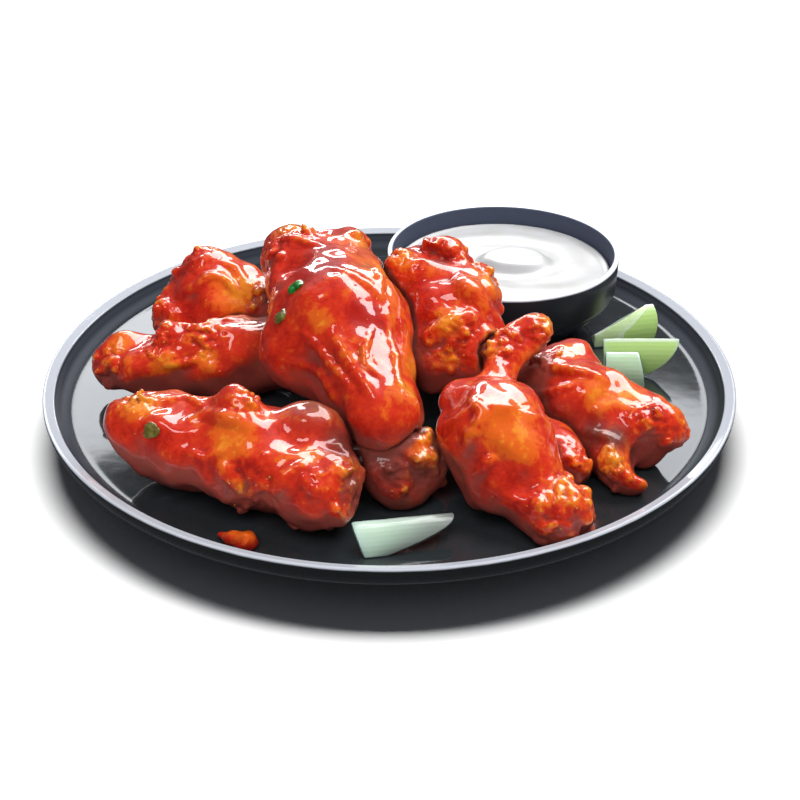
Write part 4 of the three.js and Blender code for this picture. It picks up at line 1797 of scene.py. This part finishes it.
# Each wing's painted light spots and painted shade spots paint light and shade into its sauce.
WINGS = (
    Wing("flat_front_left", Cut.FLAT, 3, (-76, -67, 27), (-19, -90, 23), 14.5, 12.0, 10.0, 0.6,
         spread=(6, 14), roll=-20, bow=(0, 2),
         lumps=[(-0.12, 20, 4, 9), (0.45, -14, 15, 6), (0.95, 160, 6, 9), (0.84, -42, 11, 11)],
         dents=[(0.2, 10, 21, 8)],
         painted_light_spots=[(-0.04, 21, 14, 8), (0.54, 43, 16, 9), (0.66, 85, 17, 4), (0.95, 30, 16, 5)],
         painted_shade_spots=[(0.84, -42, 18, 14), (1.08, -20, 15, 12), (1.25, 30, 12, 9)],
         crags=[Crag(1.08, 50, 8, 11, 13, 2.4), Crag(-0.1, 5, 12, 8, 9, 1.5),
                Crag(0.5, -10, 16, 6, 7, 1.7), Crag(0.7, 100, 14, 11, 9, 1.8)],
         welts=[([(0.03, 6), (0.14, -20), (0.3, 0)], 0.9, 1.6),
                ([(0.24, 33), (0.31, 10), (0.44, 19), (0.6, 23)], 1.0, 2.2),
                ([(0.33, 67), (0.43, 69), (0.52, 55)], 0.9, 1.6),
                ([(0.51, 72), (0.59, 79), (0.66, 90)], 1.4, 2.4),
                ([(0.71, 74), (0.84, 76), (0.89, 59), (0.96, 38)], 1.3, 2.0),
                ([(0.9, 70), (0.98, 55), (1.06, 66)], 1.0, 1.8)]),
    Wing("flat_left", Cut.FLAT, 5, (-42, -8, 25), (-95, -14, 23), 13.0, 8.0, 7.5, 0.3,
         spread=(6, 9), roll=-10,
         lumps=[(0.72, 8, 12, 4.5), (1.17, 120, 4, 5)], dents=[(0.88, 0, 17, 6)],
         painted_light_spots=[(0.73, -66, 13, 6), (1.03, 8, 9, 6), (0.45, -62, 13, 5)],
         crags=[Crag(1.15, -60, 6, 9, 12, 2.0), Crag(0.75, -20, 12, 8, 8, 1.6),
                Crag(0.45, -20, 12, 8, 6, 1.5)],
         welts=[([(0.66, 20), (0.54, -4), (0.46, -13)], 1.2, 1.8),
                ([(0.46, -13), (0.38, 6), (0.11, 4)], 1.0, 1.8),
                ([(0.72, -68), (0.6, -66), (0.5, -62)], 0.8, 1.5)]),
    Wing("drumette_back_left", Cut.DRUMETTE, 8, (-69, 23, 28), (-28, 12, 26), 19.0, 9.0, 9.5, 0.12,
         crown=0.86, waist=(0.65, 11.0),
         lumps=[(0.0, -10, 17, 7), (-0.2, -60, 8, 8), (-0.22, 100, 9, 9)],
         painted_light_spots=[(0.36, 31, 17, 10), (-0.25, -20, 14, 6)],
         crags=[Crag(-0.15, -20, 18, 12, 9, 2.0), Crag(0.6, 20, 12, 9, 9, 1.8),
                Crag(-0.3, 90, 14, 9, 7, 2.0)],
         welts=[([(-0.14, 46), (0.0, 40), (0.07, 29), (0.19, 23)], 1.1, 1.8),
                ([(0.19, 23), (0.27, 27), (0.34, 38)], 1.0, 1.7),
                ([(0.13, 3), (0.26, 2), (0.38, 19)], 0.8, 2.0)]),
    Wing("flat_right", Cut.FLAT, 11, (57, -33, 27), (83, -68, 20), 12.5, 6.2, 5.4, 0.35,
         spread=(6, 18), roll=14, bow=(0, 1),
         lumps=[(0.0, -60, 8, 9), (0.55, -70, 9, 8), (0.92, -75, 13, 8), (1.12, 117, 6.5, 5),
                (0.72, -72, 9, 9), (0.92, -130, 6, 6)],
         painted_light_spots=[(0.68, -18, 12, 8), (0.57, 18, 12, 7), (0.04, -16, 14, 6), (0.95, -60, 18, 6),
                (1.0, 80, 15, 6)],
         dents=[(1.12, 45, 3, 6.5)],
         painted_shade_spots=[(0.28, 98, 15, 11), (0.48, 100, 15, 12), (0.68, 102, 14, 11), (0.74, 72, 13, 9),
                 (0.88, 55, 10, 7)],
         crags=[Crag(1.05, -70, 16, 8, 9, 1.8), Crag(0.0, 20, 14, 7, 5, 1.8),
                Crag(0.95, -20, 10, 8, 5, 1.5), Crag(1.05, 84, 15, 8, 14, 2.0)],
         welts=[([(0.05, 34), (0.29, 17), (0.5, -6)], 1.0, 1.9),
                ([(0.12, 79), (0.27, 59), (0.4, 30)], 0.8, 1.8),
                ([(0.6, 83), (0.8, 66), (0.92, 58)], 0.9, 1.6)]),
    Wing("wing_under_front", Cut.DRUMETTE, 14, (-8, -50, 21), (3, -80, 19), 11.0, 9.5, 9.5, 0.3,
         crown=0.84, waist=(0.72, 10.0), lumps=[(0.97, -77, 10, 7.2), (0.75, -60, 7, 8)],
         crags=[Crag(1.15, 20, 8, 9, 6, 1.6), Crag(0.97, -77, 13, 6, 14, 2.3),
                Crag(1.08, -40, 11, 9, 16, 2.2)],
         welts=[([(0.5, 75), (0.8, 42), (1.0, 8), (1.0, -40)], 2.2, 2.6)],
         painted_light_spots=[(1.0, -70, 15, 5), (0.8, -80, 17, 5), (0.96, -44, 14, 7), (1.12, -36, 11, 6)],
         painted_shade_spots=[(1.0, 90, 9, 12), (1.2, 30, 9, 9), (1.2, -30, 8, 6)]),
    Wing("wing_under_right", Cut.DRUMETTE, 17, (46, -38, 20), (57, -73, 18), 9.5, 7.0, 6.5, 0.3,
         crown=0.84, waist=(0.72, 7.5), lumps=[(1.02, 0, 4, 5)],
         crags=[Crag(1.1, 0, 5, 7, 10, 1.8)]),
    Wing("drumette_front", Cut.DRUMETTE, 20, (46.5, -94, 20), (50, -36.5, 50), 17.5, 3.6, 3.9, 0.32,
         crown=0.56, waist=(0.62, 4.6), bow=(-14.5, 2),
         lumps=[(-0.06, 70, 6, 6.5), (-0.08, -30, 4, 7), (0.1, -90, 7, 11), (-0.12, 160, 5, 7),
                (0.48, -95, 8, 9), (0.93, -85, 4.8, 4.6), (0.83, -85, 3.2, 4.6)],
         painted_light_spots=[(0.18, 0, 16, 10), (-0.04, 22, 11, 6), (0.3, 20, 15, 6), (0.93, -80, 8, 6),
                (0.8, -60, 7, 5), (1.0, 40, 6, 4)],
         crags=[Crag(-0.05, 55, 8, 11, 24, 2.6), Crag(-0.12, -20, 6, 9, 14, 2.4),
                Crag(0.0, 100, 10, 7, 8, 2.2), Crag(0.86, -50, 7, 9, 26, 1.7),
                Crag(0.95, 60, 5, 6, 8, 1.4)],
         welts=[([(0.42, -26), (0.28, -18), (0.2, -30)], 0.8, 2.0),
                ([(0.12, -60), (0.18, -41), (0.2, -28)], 0.7, 1.6),
                ([(0.04, -62), (0.08, -42), (0.09, -34)], 0.9, 1.6)]),
    Wing("drumette_centre", Cut.DRUMETTE, 23, (24, -33, 41), (15, -3, 52), 16.0, 12.0, 9.0, 0.3,
         crown=0.84, waist=(0.72, 12.5), bow=(0, 1), ripple=0.12,
         lumps=[(1.0, -60, 13, 7), (1.0, 50, 8, 6.5), (0.62, 70, 14, 7), (-0.1, 100, 10, 9),
                (-0.1, -110, 10, 9), (0.55, 171, 18, 12), (0.72, 170, 31, 11), (0.34, 42, 13, 6),
                (-0.35, 40, 8, 9)],
         dents=[(0.8, 0, 20, 6)], painted_shade_spots=[(0.79, -7, 13, 6), (-0.2, -95, 18, 10)],
         painted_light_spots=[(-0.04, -27, 15, 7), (0.93, -43, 17, 6), (0.4, 38, 18, 8), (-0.3, -39, 10, 5)],
         crags=[Crag(1.05, 20, 14, 10, 14, 2.9), Crag(1.0, -50, 17, 7, 10, 2.4),
                Crag(0.6, 60, 18, 7, 9, 2.2), Crag(-0.15, -30, 12, 11, 12, 2.1)],
         welts=[([(0.82, -48), (0.74, -19), (0.64, 14)], 2.1, 4.8),
                ([(0.64, 14), (0.25, 11), (0.06, 32), (0.0, 68)], 1.7, 3.6),
                ([(-0.02, -66), (-0.06, -27), (-0.04, 20)], 2.4, 2.8)]),
    Wing("drumette_top", Cut.DRUMETTE, 26, (-33, 7, 56), (-1, -72, 35), 23.5, 11.8, 11.6, 0.5,
         crown=0.57, waist=(0.8, 14.8), bow=(-1, 0), waves=0.7, ripple=0.14,
         lumps=[(0.06, -82, 14, 12), (0.28, -80, 11, 14), (0.54, 96, 18, 12)],
         dents=[(-0.04, -38, 17, 6.5), (0.2, 32, 22, 7)],
         painted_light_spots=[(0.62, 34, 21, 5), (1.0, -30, 15, 6), (0.86, -60, 16, 6),
                (-0.04, 12, 12, 7), (0.12, -61, 21, 6), (0.4, -42, 24, 13),
                (0.36, 12, 24, -11), (0.2, 0, 22, -8), (0.68, -5, 20, -8)],
         crags=[Crag(0.02, 60, 13, 9, 12, 1.6), Crag(0.06, -90, 20, 9, 9, 2.0),
                Crag(0.0, -20, 12, 8, 8, 1.4)],
         welts=[([(0.62, 53), (0.77, 51), (0.92, 44)], 0.9, 1.5),
                ([(0.69, 33), (0.83, 30), (1.0, 21)], 1.3, 2.6),
                ([(0.72, -8), (0.8, 8), (0.86, 15), (0.92, 5)], 1.0, 1.4),
                ([(0.64, -28), (0.84, -28), (1.06, -13)], 1.1, 1.5),
                ([(0.64, 80), (0.77, 68), (0.92, 76)], 1.0, 1.8),
                ([(0.4, 8), (0.5, -8), (0.62, -30)], 0.9, 2.2),
                ([(0.35, -35), (0.5, -28), (0.64, -20)], 0.8, 1.8),
                ([(0.0, 36), (0.08, 12), (0.18, -6)], 0.8, 1.6)]),
)


class WingPile:
    """The wings, laid in order: each later one takes the shape of those under it."""

    def __init__(self, plate: Plate, wings: Sequence[Wing], cell: float) -> None:
        """Lays the small forms on every wing.

        Args:
            plate: The plate that they lie on.
            wings: The wings in the order that they are laid.
            cell: Lattice cell of the first surface.
        """
        self.plate = plate
        self.wings = wings
        self.cell = cell
        for wing in wings:
            wing.add_details()

    def above_well(self, points: Points) -> np.ndarray:
        """How far each point lies below the plate's surface and its gap."""
        radius = np.hypot(points[:, 0], points[:, 1])
        return self.plate.well_height(radius) + GAP - points[:, 2]

    def rested(self, wing: Wing, below: Sequence[Wing]) -> Field:
        """Field of a wing that lies on the plate and on other wings.

        Args:
            wing: The wing.
            below: Wings laid before it.

        Returns:
            Distance to its rested skin.
        """
        def distance(points: Points) -> np.ndarray:
            """Distance to the rested skin.

            Args:
                points: Places in millimetres.

            Returns:
                One distance for each point.
            """
            own = np.maximum(wing.skin(points), self.above_well(points))
            for other in below:
                near = own < 3.0
                if not near.any():
                    break
                pressed = GAP * 2.2 - other.skin(points[near])
                own[near] = -melt(-own[near], -pressed, CREASE)
            return own
        return distance

    def near_wings(self, wing: Wing, others: Sequence[Wing]) -> List[Wing]:
        """Those of the others whose boxes touch the wing's.

        Args:
            wing: The wing.
            others: Wings that may touch it.

        Returns:
            The near ones, in their order.
        """
        low, high = wing.box()
        boxes = [other.box() for other in others]
        return [other for other, (bottom, top) in zip(others, boxes)
                if np.all(bottom < high) and np.all(top > low)]

    def build(self, finish: bpy.types.Material, splits: int) -> List[bpy.types.Object]:
        """Makes every wing.

        Args:
            finish: Sauce material.
            splits: How often the first surface is refined.

        Returns:
            The wings' objects.
        """
        pieces = []
        for order, wing in enumerate(self.wings):
            below = self.near_wings(wing, self.wings[:order])
            others = self.near_wings(wing, [w for w in self.wings if w is not wing])
            field_of = self.rested(wing, below)
            points, quads = self.first_surface(wing, field_of)
            for split in range(splits):
                points, quads = quarter(points, quads)
                points = settle(field_of, points, self.cell * 0.35 / (split + 1), 1)
            points, notes = self.worked(wing, points, quads, others)
            mesh = mesh_from(wing.name + "_wing", points, quads, notes)
            pieces.append(place(wing.name + "_wing", mesh, finish, [wing.name], "sauced_skin"))
        self.note_hidden(pieces)
        return pieces

    def note_hidden(self, pieces: Sequence[bpy.types.Object]) -> None:
        """Notes how much of the room above is hidden from each point of the wings, to paint shade
        on the sauce there.

        Args:
            pieces: The wings' objects.
        """
        step, reach, clearance = 0.9, 130.0, 0.5
        travels = (3.0, 5.0, 8.0, 12.0, 18.0, 26.0, 36.0, 48.0)
        slopes, turns = (0.5, 1.0, 2.0, 5.0), 10
        rays = [unit(np.array([math.cos(turn), math.sin(turn), slope])) for slope in slopes
                for turn in np.linspace(0.0, FULL_TURN, turns, endpoint=False) + slope]
        spots = [points_of(piece.data) for piece in pieces]
        span = int(2 * reach / step)
        tops = np.zeros((span, span))

        def cell_of(points: Points) -> Tuple[np.ndarray, ...]:
            """Cell of the height map under each point."""
            return tuple(np.clip(((points[:, :2] + reach) / step).astype(int), 0, span - 1).T)

        for points in spots:
            np.maximum.at(tops, cell_of(points), points[:, 2])
        for piece, points in zip(pieces, spots):
            blocked = np.zeros(len(points))
            for ray in rays:
                shut = np.zeros(len(points), bool)
                for travel in travels:
                    ahead = points + ray * travel
                    shut |= tops[cell_of(ahead)] > ahead[:, 2] + clearance
                blocked += shut
            store(piece.data, "hidden", blocked / len(rays))

    def first_surface(self, wing: Wing, distance: Field) -> Tuple[Points, np.ndarray]:
        """The rested wing's surface on the lattice.

        Args:
            wing: The wing.
            distance: Its rested field.

        Returns:
            Points and faces.
        """
        reach, lowest, shell = 32.0, 8.0, 5.0
        low, shape, corners = lattice((wing.first, wing.last), reach, self.cell, lowest)
        rough = np.full(len(corners), FAR)
        guess = wing.limbs[0].distance(corners)
        for limb in wing.limbs[1:]:
            guess = np.minimum(guess, limb.distance(corners))
        near = guess < shell
        rough[near] = distance(corners[near])
        points, quads = surface_net(rough.reshape(shape), low, self.cell)
        return settle(distance, points, self.cell * 0.35, 2), quads

    def worked(self, wing: Wing, points: Points, quads: np.ndarray,
               others: Sequence[Wing]) -> Tuple[Points, Dict[str, np.ndarray]]:
        """Adds the fine relief and notes how the sauce lies, with painted light and painted shade
        among the notes.

        Args:
            wing: The wing.
            points: Its surface.
            quads: Its faces.
            others: Wings near it.

        Returns:
            The worked points and the notes for its finish.
        """
        edges, _ = edges_of(quads)
        count = len(points)
        normals = normals_of(points, quads)
        clear = np.clip((points[:, 2] - self.plate.floor_height - 0.4) / 3.0, 0.0, 1.0)
        gap = np.full(count, FAR)
        for other in others:
            gap = np.minimum(gap, other.skin(points))
        clear *= np.clip((gap - 0.6) / 3.0, 0.0, 1.0)
        crumbly = self.crumbly(wing, points)
        # Spots of painted light, and of painted shade where their radius is negative.
        painted_light = self.spotted(wing, wing.painted_light_spots, points)
        lumps = Lumpiness(wing.seed)
        medium = lumps.heights(points, 7.5)
        fine = lumps.heights(points + 40.0, 2.9)
        tiny = lumps.heights(points - 70.0, 1.5)
        ragged = 0.5 - 1.6 * np.abs(fine)
        push = (wing.ripple * medium + 0.06 * fine + 0.45 * crumbly * ragged
                + 0.22 * crumbly * tiny)
        worked = points + normals * (push * clear)[:, None]
        broad = relaxed(worked, edges, count, 26)
        tight = relaxed(worked, edges, count, 4)
        outward = normals_of(broad, quads)
        crest = np.einsum("ij,ij->i", worked - tight, outward)
        swell = np.einsum("ij,ij->i", worked - broad, outward)
        # Painted light: skin that faces up and to the right, towards the main light, is drawn with
        # thinner, more orange sauce.
        facing = outward[:, 2] * 0.45 + outward[:, 0] * 0.62 + outward[:, 1] * 0.1
        # Painted shade in hollows and where other wings come close.
        painted_crease_shade = np.clip(smooth(0.0, 0.3, -crest) * 0.6 + smooth(2.2, 0.7, gap), 0.0, 1.0)
        notes = {
            "crest": smooth(0.0, 0.22, crest),
            "thin": np.clip(0.24 + 0.42 * facing + 0.25 * swell + 0.95 * painted_light, -0.5, 1.5),
            "painted_crease_shade": np.maximum(painted_crease_shade, self.spotted(wing, wing.painted_shade_spots, points)),
            "crumbly": crumbly,
            # Painted shade on skin that faces down.
            "under": smooth(-0.1, -0.75, outward[:, 2]),
        }
        return worked, notes

    def spotted(self, wing: Wing, spots: Sequence[Spot], points: Points) -> np.ndarray:
        """How near each point is to any of the spots of painted light and shade; those of negative
        radius take away.

        Args:
            wing: The wing.
            spots: The spots on it.
            points: Places in millimetres.

        Returns:
            Up to 1 for each point.
        """
        near = np.zeros(len(points))
        for share, turn, reach, radius in spots:
            away = np.linalg.norm(points - wing.at(share, turn, reach), axis=1) / abs(radius)
            close = 1.0 - smooth(0.2, 1.25, away)
            near = np.maximum(near, close) if radius > 0 else near - close
        return near

    def crumbly(self, wing: Wing, points: Points) -> np.ndarray:
        """How ragged the crust is.

        Args:
            wing: The wing.
            points: Places in millimetres.

        Returns:
            0 to 1 for each point.
        """
        ragged = np.zeros(len(points))
        for crag in wing.crags:
            centre = wing.at(crag.share, crag.turn, crag.reach)
            away = np.linalg.norm(points - centre, axis=1)
            ragged = np.maximum(ragged, 1.0 - smooth(crag.spread * 0.7, crag.spread * 1.5, away))
        return ragged


def strew_grains(wings: Sequence[bpy.types.Object], finish: bpy.types.Material) -> None:
    """Strews grains of crust over the ragged parts of the wings, as one piece.

    Args:
        wings: The wings' objects.
        finish: Material of the grains.
    """
    density, grain, first_seed = 900.0, 0.6 * MM, 7
    tree = scatter_tree()
    points, faces, base = [], [], 0
    for number, wing in enumerate(wings):
        made = evaluated("grains", wing.data.copy(), tree, {
            "Density": density, "Grain": grain, "Seed": first_seed + number, "Finish": finish,
        })
        points.append(points_of(made))
        faces += [[base + v for v in face.vertices] for face in made.polygons]
        base += len(made.vertices)
        bpy.data.meshes.remove(made)
    mesh = mesh_from("crust_grains", np.concatenate(points), faces)
    place("crust_grains", mesh, finish, (), "sauced_skin")


@dataclass
class Crumb:
    """The loose crumb of sauced crust at the front of the plate."""

    start: Triple = (-52.3, -102.3, 11.8)
    end: Triple = (-43.4, -106.5, 12.0)
    girth: float = 2.8
    seed: int = 31
    cell: float = 0.45

    def build(self, pile: WingPile, finish: bpy.types.Material) -> None:
        """Makes the crumb.

        Args:
            pile: The wings, for their plate.
            finish: Sauce material.
        """
        first, last = np.array(self.start), np.array(self.end)
        body = Limb(first, self.girth * 0.28, last, self.girth)
        flake = Limb((first + last) / 2, self.girth * 0.7, last + UP * 0.8, self.girth * 0.8)

        def distance(points: Points) -> np.ndarray:
            """Distance to the crumb's skin at each point."""
            own = melt(body.distance(points), flake.distance(points), 3.0)
            own -= 0.25 * skin_waves(points, 6.0, self.seed)
            return np.maximum(own, pile.above_well(points))

        low, shape, corners = lattice((first, last), 7.0, self.cell)
        points, quads = surface_net(distance(corners).reshape(shape), low, self.cell)
        points = settle(distance, points, self.cell * 0.3)
        lumps = Lumpiness(self.seed)
        push = 0.12 * lumps.heights(points, 3.4) + 0.03 * lumps.heights(points, 1.3)
        push *= np.clip(points[:, 2] - 10.6, 0.0, 1.0)
        points = points + normals_of(points, quads) * push[:, None]
        # The crumb's top is drawn thinner and more orange: partly sauce lying thin on top, partly
        # painted light.
        height, nothing = smooth(11.0, 16.0, points[:, 2]), np.zeros(len(points))
        mesh = mesh_from("crust_crumb_piece", points, quads, {
            "crest": height * 0.5, "thin": 0.15 + 0.6 * height, "painted_crease_shade": nothing,
            "hidden": nothing, "under": nothing, "crumbly": 0.3 * height,
        })
        place("crust_crumb_piece", mesh, finish, ["crust_crumb"], "sauced_skin")

def mixed(first: Colour, second: Colour, share: float) -> Colour:
    """A share of the first colour with the rest of the second."""
    return tuple(a * share + b * (1 - share) for a, b in zip(first, second))

@dataclass(frozen=True)
class HerbBit:
    """A bit of herb pressed into the sauce of one wing."""

    wing: str
    share: float
    turn: float
    size: Triple
    bright: float
    seed: int

    def build(self, wings: Sequence[Wing], name: str) -> None:
        """Makes the bit.

        Args:
            wings: The wings that it may lie on.
            name: Name of the piece.
        """
        wing = next(w for w in wings if w.name == self.wing)
        centre = wing.on_skin(self.share, self.turn)
        slope = unit(slopes_of(wing.body, centre[None], wing.body(centre[None]))[0])
        across = unit(np.cross(slope, wing.along))
        ahead = np.cross(across, slope)
        rings, sides = 14, 28
        lifts = [math.pi * ring / rings for ring in range(1, rings)]
        rows = [circle(np.sin(lift), np.cos(lift), sides) for lift in lifts]
        poles = np.array([[0.0, 0.0, 1.0]]), np.array([[0.0, 0.0, -1.0]])
        ball, faces = capped([poles[0], *rows, poles[1]], False)
        ball = np.sign(ball) * np.abs(ball) ** 0.8
        lumps = Lumpiness(self.seed)
        ball *= 1.0 + 0.22 * lumps.heights(ball * 3.0 + self.seed, 2.2)[:, None]
        points = centre + (ball[:, :1] * ahead * self.size[0] + ball[:, 1:2] * across * self.size[1]
                           + ball[:, 2:] * slope * self.size[2])
        leaf = mixed(linear(24, 150, 48), linear(140, 118, 50), self.bright)
        dark = mixed(linear(14, 92, 30), linear(104, 84, 34), self.bright)
        place(name, mesh_from(name, points, faces), HerbFinish(leaf, dark).material(name))


HERBS = (
    HerbBit("drumette_top", 0.42, 40.0, (2.0, 3.1, 1.3), 1.0, 61),
    HerbBit("drumette_top", 0.49, 62.0, (2.9, 2.5, 0.9), 0.3, 62),
    HerbBit("flat_front_left", 0.1, 53.0, (2.7, 2.5, 0.9), 0.15, 63),
)


# ------------------------------------------------------------------ studio


class Lit(Enum):
    """What a light falls on."""

    SERVING = "lit_serving"
    TABLEWARE = "lit_tableware"
    CELERY = "lit_celery"
    FOOD = "lit_food"
    FLOOR = "lit_floor"


@dataclass(frozen=True)
class Softbox:
    """A flat light that faces the serving."""

    name: str
    azimuth: float
    elevation: float
    distance: float
    width: float
    height: float
    radiance: float
    falls_on: Lit = Lit.SERVING
    mirrored: bool = True
    spreads: bool = True
    tint: Triple = (1.0, 1.0, 1.0)

    def build(self, groups: Dict[Lit, bpy.types.Collection]) -> None:
        """Hangs the light; angles run from the back of the serving, clockwise from above.

        Args:
            groups: The pieces that each kind of light falls on.
        """
        light = bpy.data.lights.new(self.name, "AREA")
        light.shape = "RECTANGLE"
        light.size, light.size_y = self.width, self.height
        light.energy = self.radiance * math.pi * self.width * self.height
        light.color = self.tint
        piece = linked(self.name, light)
        azimuth, elevation = math.radians(self.azimuth), math.radians(self.elevation)
        piece.location = (
            self.distance * math.cos(elevation) * math.sin(azimuth),
            self.distance * math.cos(elevation) * math.cos(azimuth),
            self.distance * math.sin(elevation),
        )
        piece.rotation_euler = (-(math.pi / 2 - elevation), 0.0, -azimuth)
        piece.visible_camera = False
        piece.visible_glossy = self.mirrored
        piece.visible_diffuse = self.spreads
        piece.light_linking.receiver_collection = groups[self.falls_on]


@dataclass
class Studio:
    """A pale floor, soft light and the camera."""

    camera_at: Triple = (3.8, -442.2, 260.4)
    camera_pitch: float = 59.53
    focal_length: float = 60.6
    floor_reach: float = 4.0
    softboxes: Sequence[Softbox] = (
        Softbox("main_softbox", 66.0, 66.0, 1.5, 0.9, 0.9, 9.4, Lit.SERVING, False),
        Softbox("front_fill", -160.0, 42.0, 1.8, 1.4, 0.9, 2.8, Lit.SERVING, False),
        Softbox("celery_fill", 180.0, 30.0, 1.8, 1.2, 0.9, 1.8, Lit.CELERY, False),
        Softbox("plate_fill", 180.0, 62.0, 1.8, 1.2, 0.9, 6.0, Lit.TABLEWARE, False),
        Softbox("key_softbox", 36.0, 52.0, 1.5, 1.5, 0.86, 12.0, Lit.FOOD, True, False),
        Softbox("back_strip", -14.0, 28.0, 1.5, 0.8, 0.26, 17.0, Lit.FOOD, True, False),
        Softbox("side_panel", -114.0, 68.0, 1.5, 0.42, 0.26, 8.0, Lit.FOOD, True, False),
        Softbox("left_softbox", -36.0, 28.0, 1.6, 1.35, 0.33, 4.3, Lit.TABLEWARE,
                tint=(0.93, 0.96, 1.0)),
        Softbox("left_panel", -36.0, 14.0, 1.6, 1.2, 0.42, 1.0, Lit.TABLEWARE,
                tint=(0.86, 0.9, 1.0)),
        Softbox("back_panel", 10.0, 12.0, 1.6, 0.5, 0.4, 4.0, Lit.TABLEWARE,
                tint=(0.93, 0.96, 1.0)),
        Softbox("right_softbox", 36.0, 37.6, 1.6, 1.35, 0.38, 4.0, Lit.TABLEWARE,
                tint=(0.92, 0.95, 1.0)),
        Softbox("floor_light", 0.0, 60.0, 2.4, 1.8, 0.8, 22.0, Lit.FLOOR),
    )

    def build(self) -> None:
        """Sets up floor, lights, sky and camera."""
        groups = {kind: bpy.data.collections.new(kind.value) for kind in Lit}
        groups[Lit.FLOOR].objects.link(self.floor())
        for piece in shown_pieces():
            groups[Lit.SERVING].objects.link(piece)
            tableware = piece.name in ("plate_body", "bowl_body")
            groups[Lit.TABLEWARE if tableware else Lit.FOOD].objects.link(piece)
            if piece.name.startswith("celery"):
                groups[Lit.CELERY].objects.link(piece)
        for softbox in self.softboxes:
            softbox.build(groups)
        self.sky()
        camera = bpy.data.cameras.new("camera")
        camera.lens, camera.sensor_width = self.focal_length, 36.0
        camera.clip_start, camera.clip_end = 0.01, 50.0
        eye = linked("camera", camera)
        eye.location = tuple(value * MM for value in self.camera_at)
        eye.rotation_euler = (math.radians(self.camera_pitch), 0.0, 0.0)
        scene = bpy.context.scene
        scene.camera = eye
        scene.view_settings.view_transform = "Standard"
        scene.cycles.use_denoising = True
        scene.cycles.max_bounces = 7
        scene.cycles.diffuse_bounces = 3
        scene.cycles.glossy_bounces = 4
        scene.cycles.sample_clamp_indirect = 6.0

    def floor(self) -> bpy.types.Object:
        """A pale, matt floor that fades out into the backdrop.

        Returns:
            The floor.
        """
        reach = self.floor_reach / MM
        points = reach * np.array([(-1, -1, 0), (1, -1, 0), (1, 1, 0), (-1, 1, 0)])
        mesh = mesh_from("floor", points, [(0, 1, 2, 3)])
        shade = Shade("floor_paper")
        tone = shade.blend(shade.noise(300.0), linear(246, 246, 246), linear(250, 250, 250))
        where = shade.where()
        away = (where.part("X") ** 2.0 + where.part("Y") ** 2.0) ** 0.5
        mesh.materials.append(shade.surface({
            "Base Color": tone, "Roughness": 0.9, "Specular IOR Level": 0.1,
            "Alpha": 1.0 - away.eased(0.4, 0.8),
        }))
        floor = linked("floor", mesh)
        floor.visible_glossy = False
        floor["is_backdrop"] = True
        return floor

    def sky(self) -> None:
        """Even room light, with a pale backdrop beyond the floor."""
        world = bpy.data.worlds.new("room")
        bpy.context.scene.world = world
        world.use_nodes = True
        tree = Tree(world.node_tree)
        dim = tree.tap("ShaderNodeBackground", {},
                       {"Color": (0.82, 0.86, 0.95, 1.0), "Strength": 0.07})
        pale = tree.tap("ShaderNodeBackground", {}, {"Color": (0.95, 0.95, 0.95, 1.0)})
        seen = tree.tap("ShaderNodeLightPath", output="Is Camera Ray")
        both = tree.tap("ShaderNodeMixShader", {}, {0: seen, 1: dim, 2: pale})
        tree.node("ShaderNodeOutputWorld", {}, {0: both})


# ------------------------------------------------------------------ assembly


def main() -> None:
    """Builds the serving, from the table up."""
    logging.basicConfig(level=logging.INFO, format="%(name)s %(message)s")
    plate = Plate()
    turning = turned_tree()
    plate.build(turning)
    bowl = Bowl()
    bowl.build(turning)
    Cream(bowl).build()
    celery = CeleryFinish().material("celery_flesh")
    for stick in CELERY:
        stick.build(celery)
    sauce = SauceFinish().material("sauced_skin")
    pile = WingPile(plate, WINGS, FINE_CELL)
    wings = pile.build(sauce, 1)
    Crumb().build(pile, sauce)
    for number, herb in enumerate(HERBS):
        herb.build(WINGS, f"herb_bit_{number + 1}")
    strew_grains(wings, GrainFinish().material("crust_grain"))
    Studio().build()


if __name__ == "__main__":
    main()
